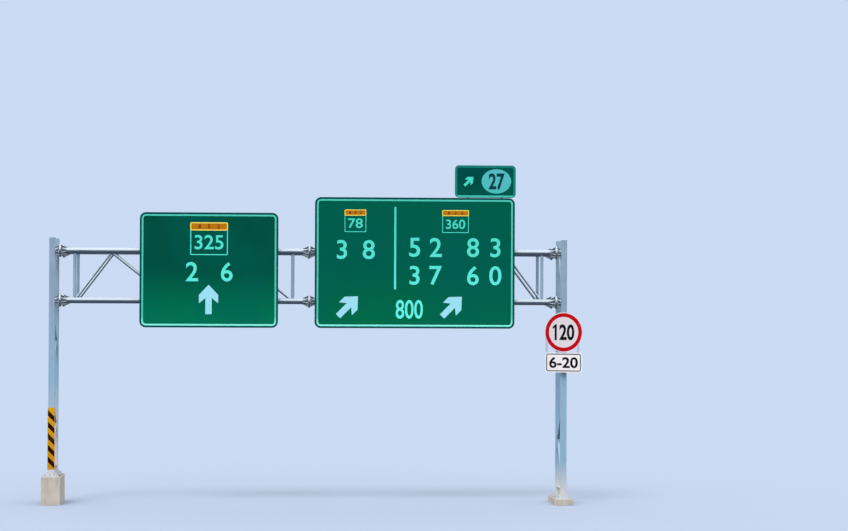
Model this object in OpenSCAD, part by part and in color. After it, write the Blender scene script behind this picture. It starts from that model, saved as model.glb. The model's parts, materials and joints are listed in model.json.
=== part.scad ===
// Overhead sign gantry: a bolted box truss of round tube carried on two pairs
// of square posts, with three direction panels on the front of the truss and a
// speed sign on the right leg.
// X runs along the span from the left leg, Y runs from the front of the panels
// to their back and Z is up. The origin is the middle of the left plinth's
// underside.
// All lengths are in millimetres.

/* [Frame] */
// Distance along the span between the left and right leg axes
span = 16600; // [15600:100:20000]
// Distance between the front and rear frames
frame_depth = 1500; // [1200:50:2000]
// Height of the bottom chords' axes above the ground
chord_low_z = 6600; // [6200:50:7200]
// Height of the top chords' axes above the bottom ones
truss_rise = 1610; // [1400:1:1800]
// Height of the post tops above the top chords' axes
post_above_chord = 420; // [300:1:600]

/* [Posts and feet] */
// Width of the square posts
post_w = 200; // [180:10:250]
// Outside corner radius of the square posts
post_corner = 20; // [10:1:30]
// Width of a base plate
base_plate_w = 460; // [420:10:560]
// Thickness of a base plate
base_plate_t = 30; // [20:1:40]
// Height of the stiffeners on a base plate
stiffener_h = 130; // [80:5:135]
// Thickness of the stiffeners on a base plate
stiffener_t = 14; // [10:1:20]
// Distance of each stiffener from the middle of its post's side
stiffener_off = 62; // [40:1:70]
// Distance from a base plate's edges to the stiffeners' outer ends
stiffener_inset = 10; // [5:1:20]
// Size of the blunt tips on the stiffeners
stiffener_tip = 12; // [8:1:20]
// Distance from a base plate's edges to its anchor bolts
anchor_edge = 50; // [40:1:60]
// Diameter of the anchor bolt holes
anchor_hole_d = 33; // [24:1:36]
// Thickness of the caps on the posts
post_cap_t = 8; // [5:1:12]
// Distance from a post's sides to its cap's edges
post_cap_inset = 6; // [3:1:8]
// Width of the concrete plinths along the span
plinth_w = 600; // [580:10:800]
// Length of the concrete plinths from front to back
plinth_l = 2120; // [2100:10:3000]
// Height of the left plinth
left_plinth_h = 900; // [700:10:900]
// Height of the right plinth
right_plinth_h = 200; // [150:10:900]
// Size of the chamfer along a plinth's top edges
plinth_chamfer = 25; // [10:1:40]

/* [Leg bracing] */
// Diameter of the level struts between a front and a rear post
leg_strut_d = 89; // [70:1:110]
// Diameter of the diagonals between a front and a rear post
leg_diagonal_d = 76; // [50:1:90]
// Number of diagonals from the foot up to the bottom chord
leg_bays = 4; // [4:1:6]
// Height of the lowest strut's axis above its base plates
leg_strut_rise = 260; // [220:10:400]

/* [Truss tubes] */
// Diameter of the four chords
chord_d = 194; // [168:1:219]
// Diameter of the upright tubes in the front and rear webs
vertical_d = 102; // [89:1:114]
// Diameter of the diagonal tubes in the front and rear webs
diagonal_d = 76; // [60:1:89]
// Diameter of the tubes in the top and bottom bracing
lateral_d = 76; // [60:1:89]
// Distance from mid-span to the first web joint
first_joint_u = 535; // [400:1:600]
// Distance between neighbouring web joints
joint_pitch = 1955; // [1850:5:2000]
// Distance from the leg axis to the end joint
end_joint_off = 720; // [650:10:900]
// Distance of the diagonals' upper meeting points below the top chords' axes
top_joint_drop = 50; // [30:1:60]
// Gap left for the weld between a tube's shaped end and what it lands on
weld_gap = 0.3; // [0.2:0.1:1]

/* [Bolted joints] */
// Diameter of the flanges
flange_d = 420; // [380:5:420]
// Thickness of one flange
flange_t = 25; // [18:1:32]
// Diameter of the circle on which the flange bolts stand
flange_bolt_circle = 307; // [290:1:320]
// Diameter of the flange bolt holes
flange_hole_d = 30; // [24:1:32]
// Length of the short tubes that carry the chords on the posts
stub_len = 155; // [130:5:220]
// Number of stiffening ribs behind a flange
rib_count = 8; // [6:1:10]
// Length of the ribs along a chord
rib_len = 190; // [120:5:240]
// Thickness of the ribs
rib_t = 12; // [8:1:16]
// Distance from the flange's rim to a rib's outer end
rib_inset = 8; // [4:1:20]
// Height of a rib's blunt outer end above its tube
rib_foot = 12; // [8:1:40]

/* [Direction panels] */
// Width of the left panel
left_sign_w = 4471; // [4200:1:4800]
// Height of the left panel
left_sign_h = 3723; // [3500:1:4000]
// Distance from mid-span to the left panel's nearer edge
left_sign_off = 1010; // [800:1:1100]
// Width of the right panel
right_sign_w = 6497; // [6200:1:6800]
// Height of the right panel
right_sign_h = 4245; // [4000:1:4500]
// Distance from mid-span to the right panel's nearer edge
right_sign_off = 171; // [150:1:330]
// Height of both panels' lower edges above the ground
sign_low_z = 5735; // [5500:5:5900]
// Corner radius of the two large panels
sign_corner = 200; // [100:5:230]
// Width of the exit tab
tab_w = 1984; // [1600:1:2400]
// Height of the exit tab
tab_h = 1052; // [800:1:1300]
// Gap between the right panel and the exit tab above it
tab_gap = 10; // [5:1:30]
// How far the exit tab reaches past the right panel's outer edge
tab_overhang = 26; // [0:1:80]
// Corner radius of the exit tab
tab_corner = 130; // [80:5:160]
// Thickness of the panels' sheet
sheet_t = 4; // [3:0.5:6]

/* [Panel supports] */
// Depth of the upright joists behind the panels
joist_depth = 100; // [80:5:120]
// Width of the joists' flanges
joist_w = 68; // [50:1:80]
// Thickness of the joists' webs
joist_web_t = 4.5; // [4:0.5:8]
// Thickness of the joists' flanges
joist_flange_t = 7.6; // [5:0.2:10]
// Distance from a large panel's upper and lower edges to the joists' ends
joist_end_off = 90; // [50:5:150]
// Least distance from a panel's side edge to a joist
joist_edge_min = 150; // [120:5:250]
// Depth of the slotted rails between panel and joists
rail_depth = 45; // [35:1:60]
// Width of a rail's foot against the sheet
rail_foot_w = 90; // [70:1:110]
// Width of a rail's slotted body
rail_body_w = 46; // [36:1:60]
// Wall of the rails
rail_wall = 4; // [3:0.5:6]
// Width of the slot in a rail
rail_slot_w = 16; // [10:1:24]
// Distance from a large panel's upper and lower edges to its outer rails
rail_edge = 250; // [210:5:300]
// Distance from a panel's side edges to the rails' ends
rail_end_off = 60; // [40:5:100]
// Most that neighbouring rails of a panel may be apart
rail_pitch_max = 750; // [600:10:900]
// Distance from the exit tab's upper and lower edges to its rails
tab_rail_edge = 220; // [170:5:280]
// How far the exit tab's joists reach down behind the right panel
tab_joist_lap = 1250; // [1100:10:1350]
// Distance of the exit tab's joists from its middle
tab_joist_off = 550; // [500:5:600]
// Least gap between a joist of the exit tab and one of the right panel
tab_joist_gap = 40; // [20:5:80]

/* [Chord clamps] */
// Width of the clamp straps along the chord
strap_w = 60; // [40:1:80]
// Thickness of the clamp straps
strap_t = 8; // [5:0.5:10]
// Length of a strap's ears
strap_ear = 46; // [36:1:60]
// Least thickness of the saddle between chord and seat plate
saddle_t = 12; // [8:1:20]
// Height of the saddle on the chord
saddle_h = 120; // [80:1:140]
// How far the saddle reaches back along the chord's sides
saddle_reach = 32; // [24:1:40]
// Thickness of the seat plates behind the joists
seat_t = 12; // [8:1:16]
// Gap between a strap's ears and its seat plate
ear_gap = 8; // [4:1:12]
// Diameter of the clamp bolt holes
clamp_hole_d = 14; // [10:1:16]

/* [Speed sign] */
// Diameter of the speed disc
disc_d = 1300; // [1000:10:1400]
// Height of the speed disc's middle above the ground
disc_z = 5626; // [5500:1:5690]
// How far the middle of disc and plate sits outwards from their post's middle
speed_sign_shift = 90; // [0:5:120]
// How far the middle of the rails and arms sits outwards from the post's middle
speed_frame_shift = 45; // [0:5:90]
// Width of the plate under the disc
plate_w = 1250; // [1100:5:1400]
// Height of the plate under the disc
plate_h = 645; // [500:5:700]
// Gap between the disc and the plate under it
plate_gap = 11; // [5:1:60]
// Corner radius of the plate under the disc
plate_corner = 60; // [30:5:100]
// Angle by which the speed sign is turned on its post
speed_turn = 24; // [0:1:25]
// Distance of the two upright rails from the middle between them
speed_rail_off = 535; // [400:5:540]
// Height of the upright rails' lower ends above the plate's lower edge
speed_rail_end_off = 60; // [20:5:100]
// Height of the upright rails' upper ends above the disc's middle
speed_rail_above = 185; // [180:5:250]
// Distance of the middle arm below the disc's middle
speed_arm_below = 190; // [150:5:400]
// Distance of the upper arm above the disc's middle
speed_arm_above = 150; // [100:5:150]
// Length of the arms that carry the upright rails
speed_arm_len = 1130; // [1120:5:1160]
// Height of the arms and of their clamps on the post
speed_arm_h = 60; // [50:1:80]
// Depth of the arms
speed_arm_depth = 45; // [30:1:60]
// Thickness of the clamp plates round the post
post_clamp_t = 10; // [6:1:14]
// Length of the ears on the post clamps
post_clamp_ear = 50; // [40:1:60]
// Diameter of the bolt holes in the post clamps
post_clamp_hole_d = 14; // [10:1:16]
// Least thickness of the wedge between post clamp and arm
wedge_min = 10; // [5:1:20]

/* [Hazard board] */
// Width of the striped board on the left front post
hazard_w = 235; // [200:1:260]
// Height of the striped board
hazard_h = 1990; // [1500:5:2200]
// Height of the board's lower edge above the ground
hazard_low_z = 1140; // [1070:1:1200]
// Thickness of the striped board
hazard_t = 3; // [2:0.5:5]

/* [Hidden] */
$fn = 48;

// How far a cutting tool runs past what it cuts
past = 10;
// How far two joined shapes are let into each other
bite = 1;

// Frame places
mid_x = span / 2;
frame_y = frame_depth / 2;
chord_high_z = chord_low_z + truss_rise;
post_top_z = chord_high_z + post_above_chord;
chord_r = chord_d / 2;
flange_joint_u = mid_x - post_w / 2 - stub_len;

// Web joints, as distance from mid-span and height: the end joint and every
// second one after it lie on the bottom chord
end_joint_u = mid_x - end_joint_off;
joint_u = [end_joint_u, first_joint_u + 3 * joint_pitch, first_joint_u + 2 * joint_pitch,
    first_joint_u + joint_pitch, first_joint_u];
vertical_u = [end_joint_u, joint_u[2], first_joint_u];

// Layers between the front chords' axes and the panels' faces, towards -Y
seat_back_y = chord_r + saddle_t;
joist_back_y = seat_back_y + seat_t;
rail_back_y = joist_back_y + joist_depth;
sheet_back_y = rail_back_y + rail_depth;

// Panel edges
left_sign_mid_x = mid_x - left_sign_off - left_sign_w / 2;
right_sign_mid_x = mid_x + right_sign_off + right_sign_w / 2;
right_sign_top_z = sign_low_z + right_sign_h;
tab_low_z = right_sign_top_z + tab_gap;
tab_mid_x = right_sign_mid_x + right_sign_w / 2 + tab_overhang - tab_w / 2;

// Joists stand a quarter and three quarters along each stretch of chord
// between web joints, where neither chord carries a web tube
joist_choice = [for (i = [0 : 5]) first_joint_u + (i / 2 + 0.25) * joint_pitch];
left_joist_u = joists_within(left_sign_off, left_sign_w);
right_joist_u = joists_within(right_sign_off, right_sign_w);
tab_joist_u = [for (s = [-1, 1]) beside_joists(tab_mid_x - mid_x + s * tab_joist_off)];

// Clamp bolts stand between the joist's web and the strap's edge, and halfway
// along the strap's ears
clamp_ear_z = chord_r + weld_gap + strap_t + strap_ear;
clamp_bolt_x = (strap_w + joist_web_t) / 4;
clamp_bolt_z = clamp_ear_z - strap_ear / 2;

// Speed sign places
plate_mid_z = disc_z - disc_d / 2 - plate_gap - plate_h / 2;
speed_rail_low_z = plate_mid_z - plate_h / 2 + speed_rail_end_off;
speed_rail_high_z = disc_z + speed_rail_above;
speed_arm_z = [plate_mid_z, disc_z - speed_arm_below, disc_z + speed_arm_above];
clamp_half = post_w / 2 + post_clamp_ear;
post_clamp_bolt_x = clamp_half - (post_clamp_ear - post_clamp_t) / 2;
wedge_half = post_w / 2 - post_corner;
wedge_y = post_w / 2 + post_clamp_t;
arm_back_y = clamp_half * sin(speed_turn) + wedge_y * cos(speed_turn) + wedge_min;
speed_rail_back_y = arm_back_y + speed_arm_depth;
speed_sheet_back_y = speed_rail_back_y + rail_depth;

steel = [0.62, 0.68, 0.76];
alloy = [0.74, 0.77, 0.80];
concrete = [0.78, 0.74, 0.68];
sign_green = [0.00, 0.38, 0.29];
sign_white = [0.93, 0.93, 0.93];
hazard_yellow = [0.90, 0.66, 0.10];

// The joists of a panel whose nearer edge is off from mid-span and that is w wide
function joists_within(off, w) =
    [for (u = joist_choice) if (u > off + joist_edge_min && u < off + w - joist_edge_min) u];

// The place of a joist wanted at u, moved outwards past a joist of the right
// panel that stands in its way
function beside_joists(u) =
    let (step = joist_w + tab_joist_gap, near = [for (v = right_joist_u) if (abs(u - v) < step) v])
    len(near) == 0 ? u : near[0] + step;

// Evenly spread places from low to high, no more than most apart
function spread(low, high, most) =
    let (n = ceil((high - low) / most)) [for (i = [0 : n]) low + (high - low) * i / n];

// Helpers

// Builds the half to the right of mid-span, drawn as distance from mid-span
module right_half() {
    translate([mid_x, 0, 0]) children();
}

// Builds the half to the left of mid-span, as the mirror of the right one
module left_half() {
    translate([mid_x, 0, 0]) mirror([1, 0, 0]) children();
}

// A rectangle with round corners, centred
module round_rect(w, h, r) {
    square([w - 2 * r, h], center = true);
    square([w, h - 2 * r], center = true);
    for (x = [-1, 1], y = [-1, 1])
        translate([x * (w / 2 - r), y * (h / 2 - r)]) circle(r = r);
}

// A flat sheet that faces -Y, centred on X and Z, with its back on Y = 0
module round_sheet(w, h, r, t) {
    rotate([90, 0, 0]) linear_extrude(t) round_rect(w, h, r);
}

// A round tube along X, from x = 0
module tube_x(d, len) {
    rotate([0, 90, 0]) cylinder(d = d, h = len);
}

// A round tube between two points [x, z] in a plane of constant Y
module bar_xz(a, b, d) {
    run = b - a;
    translate([a[0], 0, a[1]]) rotate([0, atan2(run[0], run[1]), 0])
        cylinder(d = d, h = norm(run));
}

// A round tube between two points [x, y] in a level plane
module bar_xy(a, b, d) {
    run = b - a;
    translate([a[0], a[1], 0]) rotate([0, 0, atan2(run[1], run[0])]) tube_x(d, norm(run));
}

// A round tube between two points [y, z] in a plane of constant X
module bar_yz(a, b, d) {
    run = b - a;
    translate([0, a[0], a[1]]) rotate([-atan2(run[0], run[1]), 0, 0])
        cylinder(d = d, h = norm(run));
}

// Feet

// A block with chamfered top edges, standing on z = 0
module plinth(h) {
    c = plinth_chamfer;
    color(concrete) intersection() {
        rotate([90, 0, 0]) linear_extrude(plinth_l, center = true)
            plinth_profile(plinth_w, h, c);
        rotate([90, 0, 90]) linear_extrude(plinth_w, center = true)
            plinth_profile(plinth_l, h, c);
    }
}

module plinth_profile(w, h, c) {
    polygon([[-w / 2, 0], [w / 2, 0], [w / 2, h - c], [w / 2 - c, h],
        [c - w / 2, h], [-w / 2, h - c]]);
}

// One base plate with two stiffeners on each side of the post and a hole for
// an anchor bolt in each corner
module base_plate() {
    reach = (base_plate_w - post_w) / 2 - stiffener_inset;
    anchor = base_plate_w / 2 - anchor_edge;
    difference() {
        translate([0, 0, base_plate_t / 2])
            cube([base_plate_w, base_plate_w, base_plate_t], center = true);
        for (x = [-anchor, anchor], y = [-anchor, anchor])
            translate([x, y, -past]) cylinder(d = anchor_hole_d, h = base_plate_t + 2 * past);
    }
    for (a = [0 : 90 : 270], s = [-1, 1])
        rotate([0, 0, a]) translate([post_w / 2, s * stiffener_off, base_plate_t])
            stiffener(reach);
}

// A triangle with clipped tips, standing against the post
module stiffener(reach) {
    tip = stiffener_tip;
    rotate([90, 0, 0]) linear_extrude(stiffener_t, center = true)
        polygon([[0, 0], [reach, 0], [reach, tip], [tip, stiffener_h], [0, stiffener_h]]);
}

module base_plates(plinth_h) {
    color(steel) for (y = [-frame_y, frame_y])
        translate([0, y, plinth_h]) base_plate();
}

// Legs

// A square tube from the base plate to the cap that closes its top
module post(plinth_h) {
    low = plinth_h + base_plate_t;
    cap_w = post_w - 2 * post_cap_inset;
    color(steel) {
        translate([0, 0, low]) linear_extrude(post_top_z - post_cap_t - low)
            round_rect(post_w, post_w, post_corner);
        translate([0, 0, post_top_z - post_cap_t - past]) linear_extrude(post_cap_t + past)
            round_rect(cap_w, cap_w, post_corner);
    }
}

// Struts and diagonals between the front and rear post of one leg
module leg_bracing(plinth_h) {
    low = plinth_h + base_plate_t + leg_strut_rise;
    rise = (chord_low_z - low) / leg_bays;
    level = concat([for (i = [0 : leg_bays]) low + i * rise], [chord_high_z]);
    strut_z = [low, chord_low_z, chord_high_z];
    color(steel) {
        for (z = strut_z) intersection() {
            bar_yz([-frame_y, z], [frame_y, z], leg_strut_d);
            between_posts();
        }
        for (i = [0 : leg_bays]) {
            s = i % 2 == 0 ? 1 : -1;
            difference() {
                intersection() {
                    bar_yz([-s * frame_y, level[i]], [s * frame_y, level[i + 1]],
                        leg_diagonal_d);
                    between_posts();
                }
                for (z = strut_z)
                    bar_yz([-frame_y, z], [frame_y, z], leg_strut_d + 2 * weld_gap);
            }
        }
    }
}

// The space between the facing sides of a front and a rear post
module between_posts() {
    translate([-post_w / 2, post_w / 2 - frame_y, 0])
        cube([post_w, frame_depth - post_w, post_top_z]);
}

// Bolted tube joints

// A rib behind a flange at x = 0: full height there, blunt at its far end, and
// let into the flange and the tube so that they are one piece
module rib(len) {
    high = flange_d / 2 - rib_inset;
    low = chord_r - past;
    rotate([90, 0, 0]) linear_extrude(rib_t, center = true)
        polygon([[-past, low], [len, low], [len, chord_r + rib_foot], [-past, high]]);
}

// A flange at x = 0 with its ribs running towards +X round a tube, and a bolt
// hole between each two of them
module ribbed_flange(len) {
    difference() {
        tube_x(flange_d, flange_t);
        for (i = [0 : rib_count - 1])
            rotate([360 * i / rib_count, 0, 0]) translate([-past, 0, flange_bolt_circle / 2])
                tube_x(flange_hole_d, flange_t + 2 * past);
    }
    for (i = [0 : rib_count - 1])
        rotate([360 * (i + 0.5) / rib_count, 0, 0]) translate([flange_t, 0, 0])
            rib(len);
}

// Half of one chord, flanged at mid-span and at the post, drawn from mid-span
module chord() {
    color(steel) {
        tube_x(chord_d, flange_joint_u);
        ribbed_flange(rib_len);
        translate([flange_joint_u, 0, 0]) mirror([1, 0, 0]) ribbed_flange(rib_len);
    }
}

module place_chord(side, z) {
    translate([0, side * frame_y, z]) chord();
}

// A short tube, flanged at x = 0, whose far end and ribs are cut flat to the post
module chord_stub() {
    difference() {
        union() {
            tube_x(chord_d, stub_len + past);
            ribbed_flange(stub_len - flange_t + past);
        }
        translate([stub_len, -flange_d, -flange_d]) cube(2 * flange_d);
    }
}

// The four stubs on one pair of posts, drawn from mid-span
module chord_stubs() {
    color(steel) for (y = [-frame_y, frame_y], z = [chord_low_z, chord_high_z])
        translate([flange_joint_u, y, z]) chord_stub();
}

// Truss webs

// What the chords take away from a web tube's ends
module chord_cutters() {
    for (z = [chord_low_z, chord_high_z])
        translate([-past, 0, z]) tube_x(chord_d + 2 * weld_gap, flange_joint_u + past);
}

// Where the diagonals meet: on the bottom chord's axis, and a little below the
// top one's, where they overlap
function joint(i) = [joint_u[i], i % 2 == 0 ? chord_low_z : chord_high_z - top_joint_drop];

// One side of the truss from mid-span to the leg, each tube shaped to the
// chords and to the tubes that share its joints
module web() {
    color(steel) {
        for (u = vertical_u) difference() {
            bar_xz([u, chord_low_z], [u, chord_high_z], vertical_d);
            chord_cutters();
        }
        for (i = [0 : len(joint_u) - 2]) difference() {
            bar_xz(joint(i), joint(i + 1), diagonal_d);
            chord_cutters();
            for (u = vertical_u)
                bar_xz([u, chord_low_z - past], [u, chord_high_z], vertical_d + 2 * weld_gap);
            if (i % 2 == 1)
                bar_xz(joint(i - 1), joint(i), diagonal_d + 2 * weld_gap);
        }
    }
}

module place_web(side) {
    translate([0, side * frame_y, 0]) web();
}

// Struts and diagonals in a level plane between the front and rear chords
module lateral_bracing() {
    color(steel) {
        for (u = vertical_u) difference() {
            bar_xy([u, -frame_y], [u, frame_y], lateral_d);
            lateral_cutters();
        }
        for (i = [0 : len(joint_u) - 2]) {
            s = i % 2 == 0 ? 1 : -1;
            difference() {
                bar_xy([joint_u[i], -s * frame_y], [joint_u[i + 1], s * frame_y], lateral_d);
                lateral_cutters();
                for (u = vertical_u)
                    bar_xy([u, -frame_y], [u, frame_y], lateral_d + 2 * weld_gap);
            }
        }
    }
}

module lateral_cutters() {
    for (y = [-frame_y, frame_y])
        translate([-past, y, 0]) tube_x(chord_d + 2 * weld_gap, flange_joint_u + past);
}

// Panels

module sign_panel(mid, low_z, w, h, r) {
    color(sign_green) translate([mid, -frame_y - sheet_back_y, low_z + h / 2])
        round_sheet(w, h, r, sheet_t);
}

// Slotted rail along X, foot towards -Y, with its slot on Y = 0
module rail(len) {
    rotate([90, 0, 90]) linear_extrude(len, center = true) rail_profile();
}

module rail_profile() {
    b = rail_body_w / 2;
    f = rail_foot_w / 2;
    s = rail_slot_w / 2;
    t = rail_wall;
    d = rail_depth;
    polygon([[0, -b], [0, -s], [-t, -s], [-t, t - b], [t - d, t - b], [t - d, b - t],
        [-t, b - t], [-t, s], [0, s], [0, b], [t - d, b], [t - d, f], [-d, f],
        [-d, -f], [t - d, -f], [t - d, -b]]);
}

module sign_rails(mid, heights, w) {
    color(alloy) for (z = heights)
        translate([mid, -frame_y - rail_back_y, z]) rail(w - 2 * rail_end_off);
}

function large_rail_z(h) =
    spread(sign_low_z + rail_edge, sign_low_z + h - rail_edge, rail_pitch_max);

// I-section joist standing on z = 0, back flange on Y = 0
module joist(len) {
    linear_extrude(len) translate([0, -joist_depth / 2]) {
        square([joist_web_t, joist_depth - joist_flange_t], center = true);
        for (s = [-1, 1]) translate([0, s * (joist_depth - joist_flange_t) / 2])
            square([joist_w, joist_flange_t], center = true);
    }
}

// The joists of a large panel, with the clamp bolts' holes in their back flanges
module sign_joists(at_u, h) {
    low = sign_low_z + joist_end_off;
    color(steel) for (u = at_u) difference() {
        translate([u, -frame_y - joist_back_y, low]) joist(h - 2 * joist_end_off);
        for (z = [chord_low_z, chord_high_z])
            translate([u, -frame_y, z]) clamp_holes(joist_back_y + joist_flange_t + bite);
    }
}

// Clamps between joists and front chords

// The four bolt holes of a clamp round a chord whose axis is X, from the chord's
// axis to reach in front of it
module clamp_holes(reach) {
    for (x = [-clamp_bolt_x, clamp_bolt_x], z = [-clamp_bolt_z, clamp_bolt_z])
        translate([x, 0, z]) rotate([90, 0, 0]) cylinder(d = clamp_hole_d, h = reach);
}

// Seat plate with a saddle shaped to the chord, whose axis is X
module clamp_seat() {
    difference() {
        union() {
            translate([-joist_w / 2, -joist_back_y, -clamp_ear_z])
                cube([joist_w, seat_t, 2 * clamp_ear_z]);
            translate([-joist_w / 2, -seat_back_y - bite, -saddle_h / 2])
                cube([joist_w, saddle_t + saddle_reach, saddle_h]);
        }
        translate([-joist_w, 0, 0]) tube_x(chord_d + 2 * weld_gap, 2 * joist_w);
        clamp_holes(joist_back_y + past);
    }
}

// Strap round the back of the chord, with ears beside the seat plate
module clamp_strap() {
    inner = chord_r + weld_gap;
    outer = inner + strap_t;
    ear_y = -seat_back_y + ear_gap;
    translate([-strap_w / 2, 0, 0]) difference() {
        tube_x(2 * outer, strap_w);
        translate([-past, 0, 0]) tube_x(2 * inner, strap_w + 2 * past);
        translate([-past, -2 * outer, -outer - past])
            cube([strap_w + 2 * past, 2 * outer, 2 * (outer + past)]);
    }
    difference() {
        for (s = [0, 1]) mirror([0, 0, s]) {
            translate([-strap_w / 2, ear_y, inner]) cube([strap_w, -ear_y, strap_t]);
            translate([-strap_w / 2, ear_y, inner])
                cube([strap_w, strap_t, strap_t + strap_ear]);
        }
        clamp_holes(joist_back_y);
    }
}

module sign_clamps(at_u) {
    color(steel) for (u = at_u, z = [chord_low_z, chord_high_z])
        translate([u, -frame_y, z]) {
            clamp_seat();
            clamp_strap();
        }
}

// Speed sign

// Places parts drawn round the right front post's axis, turned with the sign
module on_right_post(turn) {
    translate([span, -frame_y, 0]) rotate([0, 0, -turn]) children();
}

// Places parts of the speed sign outwards from the post's axis by shift and in
// front of it by ahead
module on_speed_sign(shift, ahead) {
    on_right_post(speed_turn) translate([shift, -ahead, 0]) children();
}

// A level arm as a channel open at the top
module speed_arm() {
    w = rail_wall;
    rotate([90, 0, 90]) linear_extrude(speed_arm_len, center = true) difference() {
        translate([-speed_arm_depth, -speed_arm_h / 2]) square([speed_arm_depth, speed_arm_h]);
        translate([w - speed_arm_depth, w - speed_arm_h / 2])
            square([speed_arm_depth - 2 * w, speed_arm_h]);
    }
}

// The two bolt holes of a post clamp, from the post's axis forwards
module post_clamp_holes() {
    for (x = [-post_clamp_bolt_x, post_clamp_bolt_x])
        translate([x, 0, 0]) rotate([90, 0, 0])
            cylinder(d = post_clamp_hole_d, h = wedge_y + past);
}

// Clamp plate on the front of the post and the wedge that turns the arm
module post_clamp_front() {
    difference() {
        translate([-clamp_half, -wedge_y, -speed_arm_h / 2])
            cube([2 * clamp_half, post_clamp_t, speed_arm_h]);
        post_clamp_holes();
    }
    translate([0, 0, -speed_arm_h / 2]) linear_extrude(speed_arm_h)
        polygon([[-wedge_half, bite - wedge_y], [wedge_half, bite - wedge_y],
            wedge_corner(1), wedge_corner(-1)]);
}

// Corner of the wedge on the arm's back, on the right (1) or left (-1)
function wedge_corner(s) =
    let (x = s * wedge_half)
    [x * cos(speed_turn) - arm_back_y * sin(speed_turn),
     -x * sin(speed_turn) - arm_back_y * cos(speed_turn)];

// Strap round the sides and back of the post, with ears behind the clamp plate
module post_clamp_back() {
    t = post_clamp_t;
    half = post_w / 2;
    ear_y = ear_gap - half;
    difference() {
        translate([0, 0, -speed_arm_h / 2]) linear_extrude(speed_arm_h) {
            translate([-half - t, half]) square([post_w + 2 * t, t]);
            for (s = [0, 1]) mirror([s, 0]) {
                translate([half, ear_y]) square([t, post_w - ear_gap + t]);
                translate([half, ear_y]) square([post_clamp_ear, t]);
            }
        }
        post_clamp_holes();
    }
}

// Nodes

module left_plinth() { plinth(left_plinth_h); }
module right_plinth() { translate([span, 0, 0]) plinth(right_plinth_h); }
module left_base_plates() { base_plates(left_plinth_h); }
module right_base_plates() { translate([span, 0, 0]) base_plates(right_plinth_h); }
module left_front_post() { translate([0, -frame_y, 0]) post(left_plinth_h); }
module left_rear_post() { translate([0, frame_y, 0]) post(left_plinth_h); }
module right_front_post() { translate([span, -frame_y, 0]) post(right_plinth_h); }
module right_rear_post() { translate([span, frame_y, 0]) post(right_plinth_h); }
module left_leg_bracing() { leg_bracing(left_plinth_h); }
module right_leg_bracing() { translate([span, 0, 0]) leg_bracing(right_plinth_h); }
module left_chord_stubs() { left_half() chord_stubs(); }
module right_chord_stubs() { right_half() chord_stubs(); }

module left_front_top_chord() { left_half() place_chord(-1, chord_high_z); }
module left_front_bottom_chord() { left_half() place_chord(-1, chord_low_z); }
module left_rear_top_chord() { left_half() place_chord(1, chord_high_z); }
module left_rear_bottom_chord() { left_half() place_chord(1, chord_low_z); }
module right_front_top_chord() { right_half() place_chord(-1, chord_high_z); }
module right_front_bottom_chord() { right_half() place_chord(-1, chord_low_z); }
module right_rear_top_chord() { right_half() place_chord(1, chord_high_z); }
module right_rear_bottom_chord() { right_half() place_chord(1, chord_low_z); }

module left_front_web() { left_half() place_web(-1); }
module left_rear_web() { left_half() place_web(1); }
module right_front_web() { right_half() place_web(-1); }
module right_rear_web() { right_half() place_web(1); }

module left_top_bracing() { left_half() translate([0, 0, chord_high_z]) lateral_bracing(); }
module left_bottom_bracing() { left_half() translate([0, 0, chord_low_z]) lateral_bracing(); }
module right_top_bracing() { right_half() translate([0, 0, chord_high_z]) lateral_bracing(); }
module right_bottom_bracing() { right_half() translate([0, 0, chord_low_z]) lateral_bracing(); }

module left_sign_panel() {
    sign_panel(left_sign_mid_x, sign_low_z, left_sign_w, left_sign_h, sign_corner);
}
module left_sign_rails() {
    sign_rails(left_sign_mid_x, large_rail_z(left_sign_h), left_sign_w);
}
module left_sign_joists() { left_half() sign_joists(left_joist_u, left_sign_h); }
module left_sign_clamps() { left_half() sign_clamps(left_joist_u); }

module right_sign_panel() {
    sign_panel(right_sign_mid_x, sign_low_z, right_sign_w, right_sign_h, sign_corner);
}
module right_sign_rails() {
    sign_rails(right_sign_mid_x, large_rail_z(right_sign_h), right_sign_w);
}
module right_sign_joists() { right_half() sign_joists(right_joist_u, right_sign_h); }
module right_sign_clamps() { right_half() sign_clamps(right_joist_u); }

module exit_tab_panel() { sign_panel(tab_mid_x, tab_low_z, tab_w, tab_h, tab_corner); }
module exit_tab_rails() {
    sign_rails(tab_mid_x, spread(tab_low_z + tab_rail_edge, tab_low_z + tab_h - tab_rail_edge,
        rail_pitch_max), tab_w);
}
module exit_tab_joists() {
    low = tab_low_z - tab_joist_lap;
    color(steel) for (u = tab_joist_u)
        translate([mid_x + u, -frame_y - joist_back_y, low])
            joist(tab_low_z + tab_h - joist_end_off - low);
}

module speed_sign_disc() {
    color(sign_white) on_speed_sign(speed_sign_shift, speed_sheet_back_y)
        translate([0, 0, disc_z]) rotate([90, 0, 0])
            cylinder(d = disc_d, h = sheet_t, $fn = 96);
}
module speed_sign_plate() {
    color(sign_white) on_speed_sign(speed_sign_shift, speed_sheet_back_y)
        translate([0, 0, plate_mid_z])
            round_sheet(plate_w, plate_h, plate_corner, sheet_t);
}
module speed_sign_rails() {
    color(alloy) on_speed_sign(speed_frame_shift, speed_rail_back_y) for (s = [-1, 1])
        translate([s * speed_rail_off, 0, speed_rail_low_z])
            linear_extrude(speed_rail_high_z - speed_rail_low_z) rotate(90) rail_profile();
}
module speed_sign_arms() {
    color(steel) on_speed_sign(speed_frame_shift, arm_back_y) for (z = speed_arm_z)
        translate([0, 0, z]) speed_arm();
}
module speed_sign_clamps() {
    color(steel) on_right_post(0) for (z = speed_arm_z) translate([0, 0, z]) {
        post_clamp_front();
        post_clamp_back();
    }
}

module hazard_board() {
    color(hazard_yellow) translate([0, -frame_y - post_w / 2, hazard_low_z + hazard_h / 2])
        round_sheet(hazard_w, hazard_h, hazard_t, hazard_t);
}

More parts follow.
